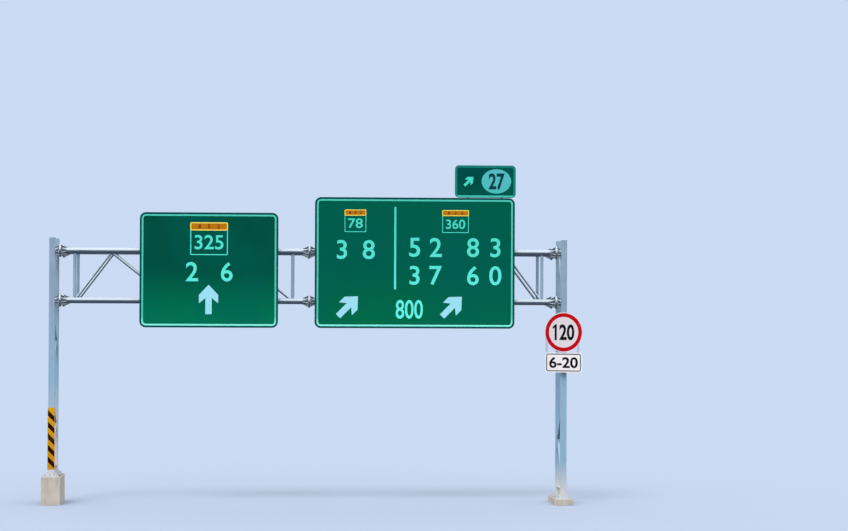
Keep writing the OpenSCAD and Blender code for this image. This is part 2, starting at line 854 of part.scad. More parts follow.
left_plinth();
right_plinth();
left_base_plates();
right_base_plates();
left_front_post();
left_rear_post();
right_front_post();
right_rear_post();
left_leg_bracing();
right_leg_bracing();
left_chord_stubs();
right_chord_stubs();
left_front_top_chord();
left_front_bottom_chord();
left_rear_top_chord();
left_rear_bottom_chord();
right_front_top_chord();
right_front_bottom_chord();
right_rear_top_chord();
right_rear_bottom_chord();
left_front_web();
left_rear_web();
right_front_web();
right_rear_web();
left_top_bracing();
left_bottom_bracing();
right_top_bracing();
right_bottom_bracing();
left_sign_panel();
left_sign_rails();
left_sign_joists();
left_sign_clamps();
right_sign_panel();
right_sign_rails();
right_sign_joists();
right_sign_clamps();
exit_tab_panel();
exit_tab_rails();
exit_tab_joists();
speed_sign_disc();
speed_sign_plate();
speed_sign_rails();
speed_sign_arms();
speed_sign_clamps();
hazard_board();
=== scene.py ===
"""Overhead sign gantry: finishes, legends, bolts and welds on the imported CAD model.

Lengths are in metres. X runs along the span from the left leg, Y from the front
of the panels to their back and Z up, as in the CAD model.
"""

import json
from math import atan2, ceil, cos, pi, radians, sin, sqrt

import bmesh
import bpy
from mathutils import Matrix, Vector


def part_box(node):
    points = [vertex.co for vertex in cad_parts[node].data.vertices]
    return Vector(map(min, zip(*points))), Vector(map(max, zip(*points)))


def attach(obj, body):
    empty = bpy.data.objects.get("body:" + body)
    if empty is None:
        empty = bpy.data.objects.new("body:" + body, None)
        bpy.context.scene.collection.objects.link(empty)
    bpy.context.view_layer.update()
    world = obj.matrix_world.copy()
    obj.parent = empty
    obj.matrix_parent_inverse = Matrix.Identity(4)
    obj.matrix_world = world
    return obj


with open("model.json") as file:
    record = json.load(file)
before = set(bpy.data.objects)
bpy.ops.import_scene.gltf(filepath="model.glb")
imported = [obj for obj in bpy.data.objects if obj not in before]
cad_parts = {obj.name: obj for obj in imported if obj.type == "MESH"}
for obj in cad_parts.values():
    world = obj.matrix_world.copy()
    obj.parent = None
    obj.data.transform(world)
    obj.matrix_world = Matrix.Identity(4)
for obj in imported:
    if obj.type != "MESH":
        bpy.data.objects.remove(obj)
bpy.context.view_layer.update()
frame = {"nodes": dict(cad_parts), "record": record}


def at(x, y, z):
    """A move to a place."""
    return Matrix.Translation((x, y, z))


def turned(angle, axis):
    """A turn about an axis through the origin."""
    return Matrix.Rotation(angle, 4, axis)


# Camera, worked out from the photo's vanishing lines and the panels' corners, with its angles
# in degrees
PHOTO_WIDTH = 848
SENSOR_WIDTH = 36.0
FOCAL_PIXELS = 2737.2
CAMERA_PLACE = (7.189, -89.75, 6.540)
CAMERA_TURN = 3.1133
CAMERA_TILT = 0.7977
CAMERA_ROLL = 0.2423


def add_camera():
    bpy.ops.object.camera_add()
    camera = bpy.context.object
    turn = turned(radians(-CAMERA_TURN), "Z")
    tilt = turned(radians(90 + CAMERA_TILT), "X")
    roll = turned(radians(CAMERA_ROLL), "Z")
    camera.matrix_world = at(*CAMERA_PLACE) @ turn @ tilt @ roll
    camera.data.sensor_width = SENSOR_WIDTH
    camera.data.lens = FOCAL_PIXELS * SENSOR_WIDTH / PHOTO_WIDTH
    bpy.context.scene.camera = camera


add_camera()


# Places that the CAD model gives


def middle(node):
    low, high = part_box(node)
    return (low + high) / 2


def heights(node):
    """Heights of a node's lowest and highest points."""
    low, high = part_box(node)
    return low.z, high.z


LEFT_X = middle("left_front_post").x
RIGHT_X = middle("right_front_post").x
FRAME_Y = middle("left_rear_post").y
LOW_Z = middle("left_front_bottom_chord").z
HIGH_Z = middle("left_front_top_chord").z
LEFT_FLANGE_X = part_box("left_front_bottom_chord")[0].x
MID_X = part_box("left_front_bottom_chord")[1].x
RIGHT_FLANGE_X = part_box("right_front_bottom_chord")[1].x
PANEL_LOW_Z, PANEL_HIGH_Z = heights("right_sign_panel")
SPEED_Z = middle("speed_sign_disc").z
SPEED_PLATE_Z = middle("speed_sign_plate").z

# Sides of mid-span along X, frames along Y, levels of the chords, and legs with the tops of
# their plinths
SIDES = ((-1, "left"), (1, "right"))
FRAMES = ((-FRAME_Y, "front"), (FRAME_Y, "rear"))
LEVELS = ((LOW_Z, "bottom"), (HIGH_Z, "top"))
LEGS = ((LEFT_X, heights("left_plinth")[1], "left"),
        (RIGHT_X, heights("right_plinth")[1], "right"))

# Sizes of the steelwork that the fixings and welds follow
POST_W = 0.200
POST_CORNER = 0.020
CHORD_R = 0.097
VERTICAL_R = 0.051
DIAGONAL_R = 0.038
LATERAL_R = 0.038
LEG_STRUT_R = 0.0445
LEG_DIAGONAL_R = 0.038
LEG_STRUT_RISE = 0.260
LEG_BAYS = 4
FLANGE_T = 0.025
BOLT_CIRCLE_R = 0.307 / 2
STUB_LEN = 0.155
BASE_PLATE_W = 0.460
BASE_PLATE_T = 0.030
ANCHOR_EDGE = 0.050

# Web joints, as distances from mid-span, with an upright at every second one
FIRST_JOINT = 0.535
JOINT_PITCH = 1.955
END_JOINT = MID_X - LEFT_X - 0.720
TOP_JOINT_DROP = 0.050
UPRIGHTS = (0, 2, 4)

# Layers between the front chords and the panels. The backs of the clamps' ears and of the
# joists are so far in front of the chords' axis
CLAMP_EAR_BACK = 0.093
JOIST_BACK = 0.121
JOIST_DEPTH = 0.100
JOIST_FLANGE_T = 0.0076
JOIST_WEB_T = 0.0045
JOIST_W = 0.068
RAIL_BACK_Y = -FRAME_Y - JOIST_BACK - JOIST_DEPTH
SHEET_T = 0.004

# Joists and rails, from a panel's edges and from the tab's middle
JOIST_EDGE_MIN = 0.150
RAIL_EDGE = 0.250
TAB_RAIL_EDGE = 0.220
RAIL_PITCH_MAX = 0.750
TAB_JOIST_OFF = 0.550

# Clamp bolts, measured from the joist's middle and the chord's axis
WELD_GAP = 0.0003
STRAP_W = 0.060
STRAP_T = 0.008
STRAP_EAR = 0.046
CLAMP_BOLT_X = (STRAP_W + JOIST_WEB_T) / 4
CLAMP_BOLT_Z = CHORD_R + WELD_GAP + STRAP_T + STRAP_EAR / 2

# Speed sign, measured from the axis of its post
SPEED_TURN = radians(24)
SPEED_PLATE_W = 1.250
SPEED_FRAME_SHIFT = 0.045
SPEED_RAIL_OFF = 0.535
POST_CLAMP_T = 0.010
POST_CLAMP_EAR = 0.050
POST_CLAMP_FRONT = POST_W / 2 + POST_CLAMP_T
POST_CLAMP_HALF = POST_W / 2 + POST_CLAMP_EAR
POST_CLAMP_EAR_BACK = 0.082
POST_CLAMP_BOLT_X = POST_CLAMP_HALF - (POST_CLAMP_EAR - POST_CLAMP_T) / 2
WEDGE_MIN = 0.010
SPEED_ARM_Z = (SPEED_PLATE_Z, SPEED_Z - 0.190, SPEED_Z + 0.150)
SPEED_ARM_BACK = (POST_CLAMP_HALF * sin(SPEED_TURN) + POST_CLAMP_FRONT * cos(SPEED_TURN)
                  + WEDGE_MIN)
SPEED_ARM_DEPTH = 0.045
SPEED_ARM_WALL = 0.004

# Thickness of the films laid on the panels
FILM = 0.0012


# Working with meshes


def deselect():
    bpy.ops.object.select_all(action="DESELECT")


def select_only(piece):
    deselect()
    piece.select_set(True)
    bpy.context.view_layer.objects.active = piece


def set_in_place(piece):
    """Puts a piece's place, turn and size into its mesh."""
    select_only(piece)
    bpy.ops.object.transform_apply(location=True, rotation=True, scale=True)


def pick(piece, kind, test=lambda part: True):
    """Enters edit mode with all vertices, edges or faces selected, or those the test takes."""
    select_only(piece)
    bpy.ops.object.mode_set(mode="EDIT")
    bpy.ops.mesh.select_mode(type=kind)
    bpy.ops.mesh.select_all(action="DESELECT")
    mesh = bmesh.from_edit_mesh(piece.data)
    parts = {"VERT": mesh.verts, "EDGE": mesh.edges, "FACE": mesh.faces}[kind]
    for part in parts:
        if test(part):
            part.select_set(True)
    mesh.select_flush_mode()
    bmesh.update_edit_mesh(piece.data)


def leave_edit_mode():
    bpy.ops.object.mode_set(mode="OBJECT")


def thicken(piece, thickness, offset):
    select_only(piece)
    modifier = piece.modifiers.new("Thickness", "SOLIDIFY")
    modifier.thickness = thickness
    modifier.offset = offset
    bpy.ops.object.modifier_apply(modifier=modifier.name)


def join(pieces):
    deselect()
    for piece in pieces:
        piece.select_set(True)
    bpy.context.view_layer.objects.active = pieces[0]
    bpy.ops.object.join()
    return bpy.context.object


def repeat(model, places):
    """Copies a model to each place, every copy with its own mesh, and joins the copies."""
    copies = []
    for place in places:
        copy = model.copy()
        copy.data = model.data.copy()
        copy.data.transform(place)
        bpy.context.collection.objects.link(copy)
        copies.append(copy)
    return join(copies)


def discard(model):
    bpy.data.objects.remove(model)


def keep(piece, name, material):
    """Names a finished piece, gives it its material and fixes it to the gantry."""
    piece.name = name
    piece.data.name = name
    piece.data.materials.clear()
    piece.data.materials.append(material)
    select_only(piece)
    bpy.ops.object.shade_smooth_by_angle(angle=radians(35))
    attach(piece, "root")


# Materials


def linear(colour):
    """An sRGB hex colour as linear red, green, blue and alpha."""
    shares = [int(colour[i : i + 2], 16) / 255 for i in (1, 3, 5)]
    return [s / 12.92 if s <= 0.04045 else ((s + 0.055) / 1.055) ** 2.4 for s in shares] + [1]


def add_node(tree, kind, inputs, **settings):
    """Adds a node with its settings. Each of its inputs, by name or number, is set to a value
    or linked to an output, or to another node's first output."""
    node = tree.nodes.new("ShaderNode" + kind)
    for name, value in settings.items():
        setattr(node, name, value)
    for name, value in inputs.items():
        connect(tree, value, node.inputs[name])
    return node


def connect(tree, source, target):
    if isinstance(source, bpy.types.Node):
        source = source.outputs[0]
    if isinstance(source, bpy.types.NodeSocket):
        tree.links.new(source, target)
    else:
        target.default_value = source


def start_material(name, **settings):
    """A new material, with its shader's constant inputs set, its node tree and the place of
    each point in the gantry's own frame."""
    material = bpy.data.materials.new(name)
    material.use_nodes = True
    tree = material.node_tree
    shader = tree.nodes["Principled BSDF"]
    for socket, value in settings.items():
        shader.inputs[socket.replace("_", " ")].default_value = value
    return material, tree, tree.nodes.new("ShaderNodeTexCoord").outputs["Object"]


def patches(tree, place, per_metre, low, high, detail, stretch=(1, 1, 1)):
    """Noise with so many patches a metre, from 0 at its low value to 1 at its high value."""
    scaled = add_node(tree, "Mapping", {"Vector": place, "Scale": stretch})
    noise = add_node(tree, "TexNoise", {"Vector": scaled, "Scale": per_metre, "Detail": detail})
    return add_node(tree, "MapRange", {"Value": noise, "From Min": low, "From Max": high})


def tint(tree, colour, mask, most, second):
    """Lays a second colour over another one where the mask is 1, up to the share most."""
    share = add_node(tree, "Math", {0: mask, 1: most}, operation="MULTIPLY")
    return add_node(tree, "MixRGB", {"Fac": share, "Color1": colour, "Color2": linear(second)})


def height_shade(tree, place, span, low_colour, high_colour):
    """A colour that goes from one shade to another over a span of heights."""
    height = add_node(tree, "SeparateXYZ", {"Vector": place}).outputs["Z"]
    share = add_node(tree, "MapRange", {
        "Value": height, "From Min": span[0], "From Max": span[1]})
    return tint(tree, linear(low_colour), share, 1.0, high_colour)


def darken(tree, colour, relief, least):
    """Darkens a colour down to the share least of it where the relief is 0."""
    shade = add_node(tree, "MapRange", {"Value": relief, "To Min": least})
    return add_node(tree, "MixRGB", {"Fac": 1.0, "Color1": colour, "Color2": shade},
                    blend_type="MULTIPLY")


def facing(tree):
    """How far a surface faces along each axis, as outputs X, Y and Z from -1 to 1."""
    normal = tree.nodes.new("ShaderNodeNewGeometry").outputs["Normal"]
    return add_node(tree, "SeparateXYZ", {"Vector": normal}).outputs


def surface(tree, colour, rough, bump):
    """Links the colour, the roughness and a bump. Rough is a mask with the roughness where it
    is 0 and where it is 1, and bump is a height between 0 and 1 with its size in metres."""
    shader = tree.nodes["Principled BSDF"]
    mask, low, high = rough
    roughness = add_node(tree, "MapRange", {"Value": mask, "To Min": low, "To Max": high})
    height, relief = bump
    normal = add_node(tree, "Bump", {"Height": height, "Distance": relief, "Strength": 1.0})
    connect(tree, colour, shader.inputs["Base Color"])
    connect(tree, roughness, shader.inputs["Roughness"])
    connect(tree, normal, shader.inputs["Normal"])


def painted_steel(name, shade_line=0.0, dust_top=1.4, fade_and_top_light=0.88):
    """Satin polyurethane paint over zinc: an even grey-blue with slight clouding. What faces up
    is painted paler as a painted highlight, by the share given, and a little dust settles there.
    Rain leaves thin streaks down upright faces. What faces up by less than the shade line is
    painted dark slate blue, painted shade that also stands for soot. Pale dust lies on the
    feet, thinning to its top."""
    material, tree, place = start_material(name, Metallic=0.0, IOR=1.5)
    cloud = patches(tree, place, 1.6, 0.35, 0.65, 4.0)
    colour = tint(tree, linear("#89A2BB"), cloud, 1.0, "#95ADC4")
    # The paint is paler and bluer below the truss, fully so 1.8 m down
    height = add_node(tree, "SeparateXYZ", {"Vector": place}).outputs["Z"]
    below = add_node(tree, "MapRange", {
        "Value": height, "From Min": LOW_Z, "From Max": LOW_Z - 1.8})
    colour = tint(tree, colour, below, 0.80, "#8FB9D7")
    # Rain streaks are 20 to 60 mm wide and some metres long
    streak = patches(tree, place, 1.0, 0.54, 0.74, 5.0, (22.0, 22.0, 0.45))
    colour = tint(tree, colour, streak, 0.35, "#66778A")
    # Grime is blotchy, in patches of about 200 mm
    grime = patches(tree, place, 5.0, 0.56, 0.80, 8.0)
    colour = tint(tree, colour, grime, 0.30, "#7F8383")
    dust = add_node(tree, "MapRange", {
        "Value": height, "From Min": dust_top, "From Max": 0.3 * dust_top})
    colour = tint(tree, colour, dust, 0.80, "#DAD4D2")
    up = facing(tree)["Z"]
    # Painted highlight: what faces up is painted paler, by the share given, less where the
    # bracing is shaded
    painted_top_light = add_node(tree, "MapRange", {"Value": up, "From Min": 0.05, "From Max": 0.30})
    colour = tint(tree, colour, painted_top_light, fade_and_top_light, "#CCD7E0")
    settled = add_node(tree, "MapRange", {"Value": up, "From Min": 0.45, "From Max": 0.95})
    colour = tint(tree, colour, settled, 0.70, "#ABB4BA")
    # Painted shade: what faces up by less than the shade line is painted dark slate blue, which
    # also stands for soot
    soot_and_shade = add_node(tree, "MapRange", {
        "Value": up, "From Min": shade_line, "From Max": shade_line - 0.12})
    colour = tint(tree, colour, soot_and_shade, 0.80, "#2C3648")
    dull = add_node(tree, "Math", {0: cloud, 1: soot_and_shade}, operation="MAXIMUM")
    # Orange peel is 3 mm from crest to crest, drawn at 8 mm so that it shows close up
    peel = patches(tree, place, 125.0, 0.0, 1.0, 2.0)
    surface(tree, colour, rough=(dull, 0.30, 0.46), bump=(peel, 0.0002))
    return material


def galvanised_steel():
    """Hot-dip zinc: dull grey metal whose spangle shows as flat crystals of differing grey."""
    material, tree, place = start_material("galvanised_steel", Metallic=0.75)
    # Spangle is about 15 mm across, drawn at 30 mm so that it shows
    crystal = add_node(tree, "TexVoronoi", {"Vector": place, "Scale": 33.0})
    grey = add_node(tree, "SeparateColor", {"Color": crystal.outputs["Color"]})
    colour = tint(tree, linear("#A6ADB3"), grey, 1.0, "#CDD2D6")
    weather = patches(tree, place, 3.0, 0.45, 0.75, 6.0)
    colour = tint(tree, colour, weather, 0.35, "#83888C")
    surface(tree, colour, rough=(grey, 0.42, 0.62), bump=(crystal, 0.0002))
    return material


def mill_aluminium(name, stretch):
    """Aluminium as extruded: pale, with fine draw lines along its length and a chalky bloom
    of oxide."""
    material, tree, place = start_material(name, Metallic=0.85)
    # Draw lines are under 1 mm apart, drawn 4 mm apart
    lines = patches(tree, place, 1.0, 0.35, 0.65, 3.0, stretch)
    colour = tint(tree, linear("#CBD0D4"), lines, 1.0, "#DFE3E6")
    bloom = patches(tree, place, 2.2, 0.45, 0.75, 6.0)
    colour = tint(tree, colour, bloom, 0.40, "#B2B6B9")
    surface(tree, colour, rough=(lines, 0.36, 0.48), bump=(lines, 0.0001))
    return material


def sealed_cells(tree, place):
    """The net of sealed cells in retroreflective sheeting, 0 on its walls. The cells are 3 mm
    across, drawn at 9 mm so that they show close up."""
    net = add_node(tree, "TexVoronoi", {"Vector": place, "Scale": 110.0, "Randomness": 0.25},
                   feature="DISTANCE_TO_EDGE")
    return add_node(tree, "MapRange", {"Value": net, "From Max": 0.12})


def butt_joints(tree, place, first_x, strip_w):
    """Lines 2 mm wide where strips of sheeting meet, 0 on the line."""
    across = add_node(tree, "SeparateXYZ", {"Vector": place}).outputs["X"]
    shifted = add_node(tree, "Math", {0: across, 1: first_x}, operation="SUBTRACT")
    folded = add_node(tree, "Math", {0: shifted, 1: strip_w / 2}, operation="PINGPONG")
    return add_node(tree, "MapRange", {"Value": folded, "From Max": 0.002})


def sheeting(name, low_colour, high_colour, faded_colour, span, strips=None):
    """Retroreflective sheeting on aluminium sheet: a smooth film of low gloss with a fine net
    of sealed cells in front, and the bare, rolled metal behind. Its colour changes over a span
    of heights as painted light, and it has faded in broad patches. Strips are the X where the
    first one starts and their width, and a small sign has none."""
    material, tree, place = start_material(name, IOR=1.5, Specular_IOR_Level=0.015)
    colour = height_shade(tree, place, span, low_colour, high_colour)
    fade_and_top_light = patches(tree, place, 0.45, 0.35, 0.65, 3.0)
    colour = tint(tree, colour, fade_and_top_light, 0.60, faded_colour)
    relief = sealed_cells(tree, place)
    if strips:
        joints = butt_joints(tree, place, *strips)
        relief = add_node(tree, "Math", {0: relief, 1: joints}, operation="MULTIPLY")
    front = darken(tree, colour, relief, 0.80)
    # Rolling lines run level, 7 mm apart
    rolled = patches(tree, place, 1.0, 0.35, 0.65, 4.0, (2.0, 2.0, 140.0))
    back = tint(tree, linear("#A9AFB4"), rolled, 1.0, "#BCC1C5")
    is_back = add_node(tree, "Math", {0: facing(tree)["Y"], 1: -0.5}, operation="GREATER_THAN")
    both = add_node(tree, "MixRGB", {"Fac": is_back, "Color1": front, "Color2": back})
    metal = add_node(tree, "MapRange", {"Value": is_back, "To Max": 0.85})
    connect(tree, metal, tree.nodes["Principled BSDF"].inputs["Metallic"])
    surface(tree, both, rough=(fade_and_top_light, 0.46, 0.54), bump=(relief, 0.0002))
    return material


def legend_film(name, low_colour, high_colour, span):
    """Cut film for borders and legends: an even colour of low gloss, slightly greyed in
    patches by dust, with painted light that changes over a span of heights."""
    material, tree, place = start_material(name, IOR=1.5, Specular_IOR_Level=0.06)
    colour = height_shade(tree, place, span, low_colour, high_colour)
    dust = patches(tree, place, 4.0, 0.5, 0.8, 6.0)
    colour = tint(tree, colour, dust, 0.06, "#8E9692")
    # The grain is 2 mm, drawn at 6 mm
    grain = patches(tree, place, 160.0, 0.0, 1.0, 2.0)
    surface(tree, colour, rough=(dust, 0.42, 0.56), bump=(grain, 0.0001))
    return material


def cast_concrete():
    """Concrete cast against boards: matte beige-grey, with pores, faint board lines, darker
    runs down its sides where water comes over the edge, and grime with painted shade on top."""
    material, tree, place = start_material("cast_concrete", IOR=1.5)
    cloud = patches(tree, place, 2.5, 0.3, 0.7, 8.0)
    colour = tint(tree, linear("#BDB5AC"), cloud, 1.0, "#D3CBC2")
    # Runs are about 110 mm wide and a metre long
    run = patches(tree, place, 1.0, 0.50, 0.72, 5.0, (9.0, 9.0, 0.9))
    colour = tint(tree, colour, run, 0.45, "#8F8981")
    # Painted shade: what faces up is darkened, which also stands for grime on top
    top = add_node(tree, "MapRange", {
        "Value": facing(tree)["Z"], "From Min": 0.5, "From Max": 0.9})
    colour = tint(tree, colour, top, 0.75, "#8A857E")
    # Pores are 3 to 6 mm across
    pore = add_node(tree, "TexVoronoi", {"Vector": place, "Scale": 70.0, "Randomness": 1.0})
    pit = add_node(tree, "MapRange", {"Value": pore, "From Min": 0.10, "From Max": 0.22})
    # Form boards are 150 mm high
    up = add_node(tree, "SeparateXYZ", {"Vector": place}).outputs["Z"]
    board = add_node(tree, "Math", {0: up, 1: 0.075}, operation="PINGPONG")
    line = add_node(tree, "MapRange", {"Value": board, "From Max": 0.003})
    relief = add_node(tree, "Math", {0: pit, 1: line}, operation="MULTIPLY")
    colour = darken(tree, colour, relief, 0.72)
    surface(tree, colour, rough=(cloud, 0.82, 0.94), bump=(relief, 0.001))
    return material


def zinc_fastener():
    """Galvanised bolts: brighter than the steelwork, with a slightly lumpy coat."""
    material, tree, place = start_material("zinc_fastener", Metallic=0.7)
    # The coat varies every 25 mm, so from bolt to bolt
    coat = patches(tree, place, 40.0, 0.3, 0.7, 3.0)
    colour = tint(tree, linear("#C0C6CC"), coat, 1.0, "#D6DBDF")
    surface(tree, colour, rough=(coat, 0.35, 0.55), bump=(coat, 0.0003))
    return material


def stainless_strap():
    """Cold-rolled stainless band: bright, with fine lines round the post."""
    material, tree, place = start_material("stainless_strap", Metallic=1.0)
    # The lines are 1 mm apart
    lines = patches(tree, place, 1.0, 0.3, 0.7, 2.0, (6.0, 6.0, 900.0))
    colour = tint(tree, linear("#B9BCBE"), lines, 1.0, "#D2D4D5")
    surface(tree, colour, rough=(lines, 0.25, 0.38), bump=(lines, 0.0001))
    return material


def panel_sheeting(panel, low_colour, high_colour, strips):
    """Green sheeting on a panel that is so many strips wide. Its upper half is one shade, which
    turns into a lighter one down to near its lower edge as painted light, and it fades to blue."""
    low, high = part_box(panel)
    return sheeting(panel.replace("panel", "sheeting"), low_colour, high_colour, "#00625A",
                    (low.z + 0.3, (low.z + high.z) / 2), (low.x, (high.x - low.x) / strips))


# Spans of heights over which the painted light on sheeting and films changes. The lowest
# line of each border is the brightest
PANEL_SPAN = (PANEL_LOW_Z, PANEL_HIGH_Z)
BORDER_SPAN = (PANEL_LOW_Z + 0.13, PANEL_LOW_Z + 0.35)
LEGEND_SPAN = (PANEL_LOW_Z + 0.3, PANEL_LOW_Z + 3.6)
ARROW_SPAN = (PANEL_LOW_Z, PANEL_LOW_Z + 1.4)
TAB_SPAN = (PANEL_HIGH_Z, heights("exit_tab_panel")[1])
BOARD_SPAN = (1.1, 3.1)
SPEED_SPAN = (SPEED_Z - 0.7, SPEED_Z + 0.7)

PAINT = painted_steel("painted_steel")
# The painted shade and soot reach above the middle of the chords' sides
CHORD_PAINT = painted_steel("painted_chord_steel", shade_line=0.12)
# Dust lies high up the left leg
DUSTY_PAINT = painted_steel("painted_dusty_steel", dust_top=4.0)
# The posts shade the bracing between them
SHADED_PAINT = painted_steel("painted_shaded_steel", fade_and_top_light=0.20)
SHADED_DUSTY_PAINT = painted_steel("painted_shaded_dusty_steel", dust_top=4.0, fade_and_top_light=0.20)
ZINC = galvanised_steel()
LEVEL_ALLOY = mill_aluminium("mill_aluminium_level", (1.5, 250.0, 250.0))
UPRIGHT_ALLOY = mill_aluminium("mill_aluminium_upright", (250.0, 250.0, 1.5))
CONCRETE = cast_concrete()
BOLT_ZINC = zinc_fastener()
STAINLESS = stainless_strap()
LEFT_GREEN = panel_sheeting("left_sign_panel", "#007E56", "#005140", 2)
RIGHT_GREEN = panel_sheeting("right_sign_panel", "#00704C", "#00624C", 2.5)
TAB_GREEN = panel_sheeting("exit_tab_panel", "#00564C", "#004C46", 0.5)
DISC_WHITE = sheeting("disc_sheeting", "#EEE6EC", "#EAE2E9", "#E8DFEA",
                      (SPEED_Z - 0.7, SPEED_Z))
PLATE_WHITE = sheeting("plate_sheeting", "#FFFBFF", "#FFFBFF", "#F8F0FA", SPEED_SPAN)
YELLOW = sheeting("yellow_sheeting", "#D08E14", "#DCA61E", "#C8963A", BOARD_SPAN)
RIM_GREEN = legend_film("rim_film", "#00504E", "#00484C", PANEL_SPAN)
BORDER = legend_film("border_film", "#8CFFF2", "#50D2BE", BORDER_SPAN)
TAB_BORDER = legend_film("tab_border_film", "#148A80", "#108078", TAB_SPAN)
LEGEND = legend_film("legend_film", "#69FFF4", "#48E0CA", LEGEND_SPAN)
ARROW_FILM = legend_film("arrow_film", "#9CEAFA", "#A4E6FC", ARROW_SPAN)
TAB_FILM = legend_film("tab_film", "#4CC2BE", "#56C2C8", TAB_SPAN)
TAB_DARK = legend_film("tab_number_film", "#00444A", "#003A4C", TAB_SPAN)
ORANGE = legend_film("orange_film", "#C27E08", "#BE7608", PANEL_SPAN)
BAND_EDGE = legend_film("band_edge_film", "#FFF27C", "#FFEA64", PANEL_SPAN)
BAND_DARK = legend_film("band_number_film", "#842C04", "#762404", PANEL_SPAN)
RED = legend_film("red_film", "#C4001A", "#BE0414", SPEED_SPAN)
BLACK = legend_film("black_film", "#0C0A0C", "#080608", (0.0, PANEL_HIGH_Z))
FADED_BLACK = legend_film("faded_black_film", "#2A0804", "#220604", BOARD_SPAN)

FINISHES = {
    "painted_steel": PAINT,
    "galvanised_steel": ZINC,
    "panel_rails": LEVEL_ALLOY,
    "yellow_sheeting": YELLOW,
    "concrete": CONCRETE,
}
OWN_FINISHES = {
    "left_sign_panel": LEFT_GREEN,
    "right_sign_panel": RIGHT_GREEN,
    "exit_tab_panel": TAB_GREEN,
    "speed_sign_disc": DISC_WHITE,
    "speed_sign_plate": PLATE_WHITE,
    "speed_sign_rails": UPRIGHT_ALLOY,
    "left_front_post": DUSTY_PAINT,
    "left_rear_post": DUSTY_PAINT,
    "left_leg_bracing": SHADED_DUSTY_PAINT,
    "right_leg_bracing": SHADED_PAINT,
    "left_base_plates": DUSTY_PAINT,
}


def finish_frame():
    """Gives every CAD node its own material or that of its slot."""
    slots = {part["node"]: part["material_slot"] for part in frame["record"]["subparts"]}
    for name, node in frame["nodes"].items():
        if name in OWN_FINISHES:
            material = OWN_FINISHES[name]
        elif "chord" in name:
            material = CHORD_PAINT
        else:
            material = FINISHES[slots[name]]
        for slot in node.material_slots:
            slot.material = material


finish_frame()


# Bolts. Each is modelled once along Z and copied to its places

ALONG_X = turned(pi / 2, "Y")
ALONG_Y = turned(pi / 2, "X")
BACK_ALONG_Y = turned(-pi / 2, "X")

# Diameters of the threads
FLANGE_BOLT = 0.027
CLAMP_BOLT = 0.012
CLIP_BOLT = 0.010
ANCHOR_BOLT = 0.030

# Joints between flanges, with the turn of their bolts. The heads are on the truss's side at the
# legs and on the left at mid-span
FLANGE_JOINTS = ((LEFT_FLANGE_X, 0, "left_leg"), (MID_X, pi, "mid_span"),
                 (RIGHT_FLANGE_X, pi, "right_leg"))


def round_bar(radius, low, high, sides):
    bpy.ops.mesh.primitive_cylinder_add(
        vertices=sides, radius=radius, depth=high - low, location=(0, 0, (low + high) / 2))
    piece = bpy.context.object
    set_in_place(piece)
    return piece


def chamfer_end(piece, size, upper):
    """Chamfers the rim of a piece's upper or lower end."""
    pick(piece, "FACE", lambda face: face.normal.z > 0.9 if upper else face.normal.z < -0.9)
    bpy.ops.mesh.bevel(offset=size, segments=1, affect="EDGES")
    leave_edit_mode()
    return piece


def hexagon(across_flats, low, high, upper):
    """A bolt head or nut with a chamfer at its outer end."""
    bar = round_bar(across_flats / sqrt(3), low, high, 6)
    return chamfer_end(bar, 0.07 * across_flats, upper)


def bolt(size, grip):
    """A bolt through a joint of that thickness, whose middle is at the origin: head and
    washer above, washer, nut and thread end below. Shares of its size are about those of a
    standard hexagon bolt."""
    washer = 0.16 * size
    face = grip / 2
    head = hexagon(1.52 * size, face + washer, face + washer + 0.64 * size, True)
    nut = hexagon(1.52 * size, -face - washer - 0.8 * size, -face - washer, False)
    washers = [round_bar(0.92 * size, face, face + washer, 12),
               round_bar(0.92 * size, -face - washer, -face, 12)]
    end = chamfer_end(round_bar(size / 2, -face - 1.2 * size, face, 8), 0.1 * size, False)
    return join([head, nut, end] + washers)


def nut_on_stud(size, foot):
    """A washer and a nut on a stud that comes out of z = foot."""
    washer = round_bar(size, foot, foot + 0.2 * size, 8)
    nut = hexagon(1.7 * size, foot + 0.2 * size, foot + size, True)
    stud = round_bar(size / 2, foot, foot + 1.4 * size, 6)
    return join([washer, nut, stud])


def keep_bolts(model, places, name):
    """Copies a bolt or clip to its places and keeps the copies as one piece."""
    keep(repeat(model, places), name, BOLT_ZINC)


def fix_flanges():
    """Eight bolts through each of the twelve flange joints."""
    model = bolt(FLANGE_BOLT, 2 * FLANGE_T)
    for x, turn, joint in FLANGE_JOINTS:
        for y, depth in FRAMES:
            for z, level in LEVELS:
                places = [at(x, y, z) @ turned(i * pi / 4, "X") @ at(0, 0, BOLT_CIRCLE_R)
                          @ turned(turn, "Z") @ ALONG_X for i in range(8)]
                keep_bolts(model, places, f"{joint}_{depth}_{level}_flange_bolts")
    discard(model)


def anchor_stud():
    """The end of an anchor bolt with its washer, nut and thin lock nut, from z = 0."""
    washer_top, nut_top, lock_nut_top, stud_top = 0.006, 0.030, 0.044, 0.060
    across_flats = 0.046
    washer = round_bar(ANCHOR_BOLT, 0.0, washer_top, 14)
    nut = hexagon(across_flats, washer_top, nut_top, True)
    lock_nut = hexagon(across_flats, nut_top, lock_nut_top, True)
    stud = chamfer_end(round_bar(ANCHOR_BOLT / 2, -BASE_PLATE_T, stud_top, 12), 0.002, True)
    return join([washer, nut, lock_nut, stud])


def fix_base_plates():
    """Four anchor bolts through each base plate."""
    model = anchor_stud()
    off = BASE_PLATE_W / 2 - ANCHOR_EDGE
    for x, top, side in LEGS:
        for y, depth in FRAMES:
            places = [at(x + i * off, y + j * off, top + BASE_PLATE_T)
                      for i in (-1, 1) for j in (-1, 1)]
            keep_bolts(model, places, f"{side}_{depth}_anchor_bolts")
    discard(model)


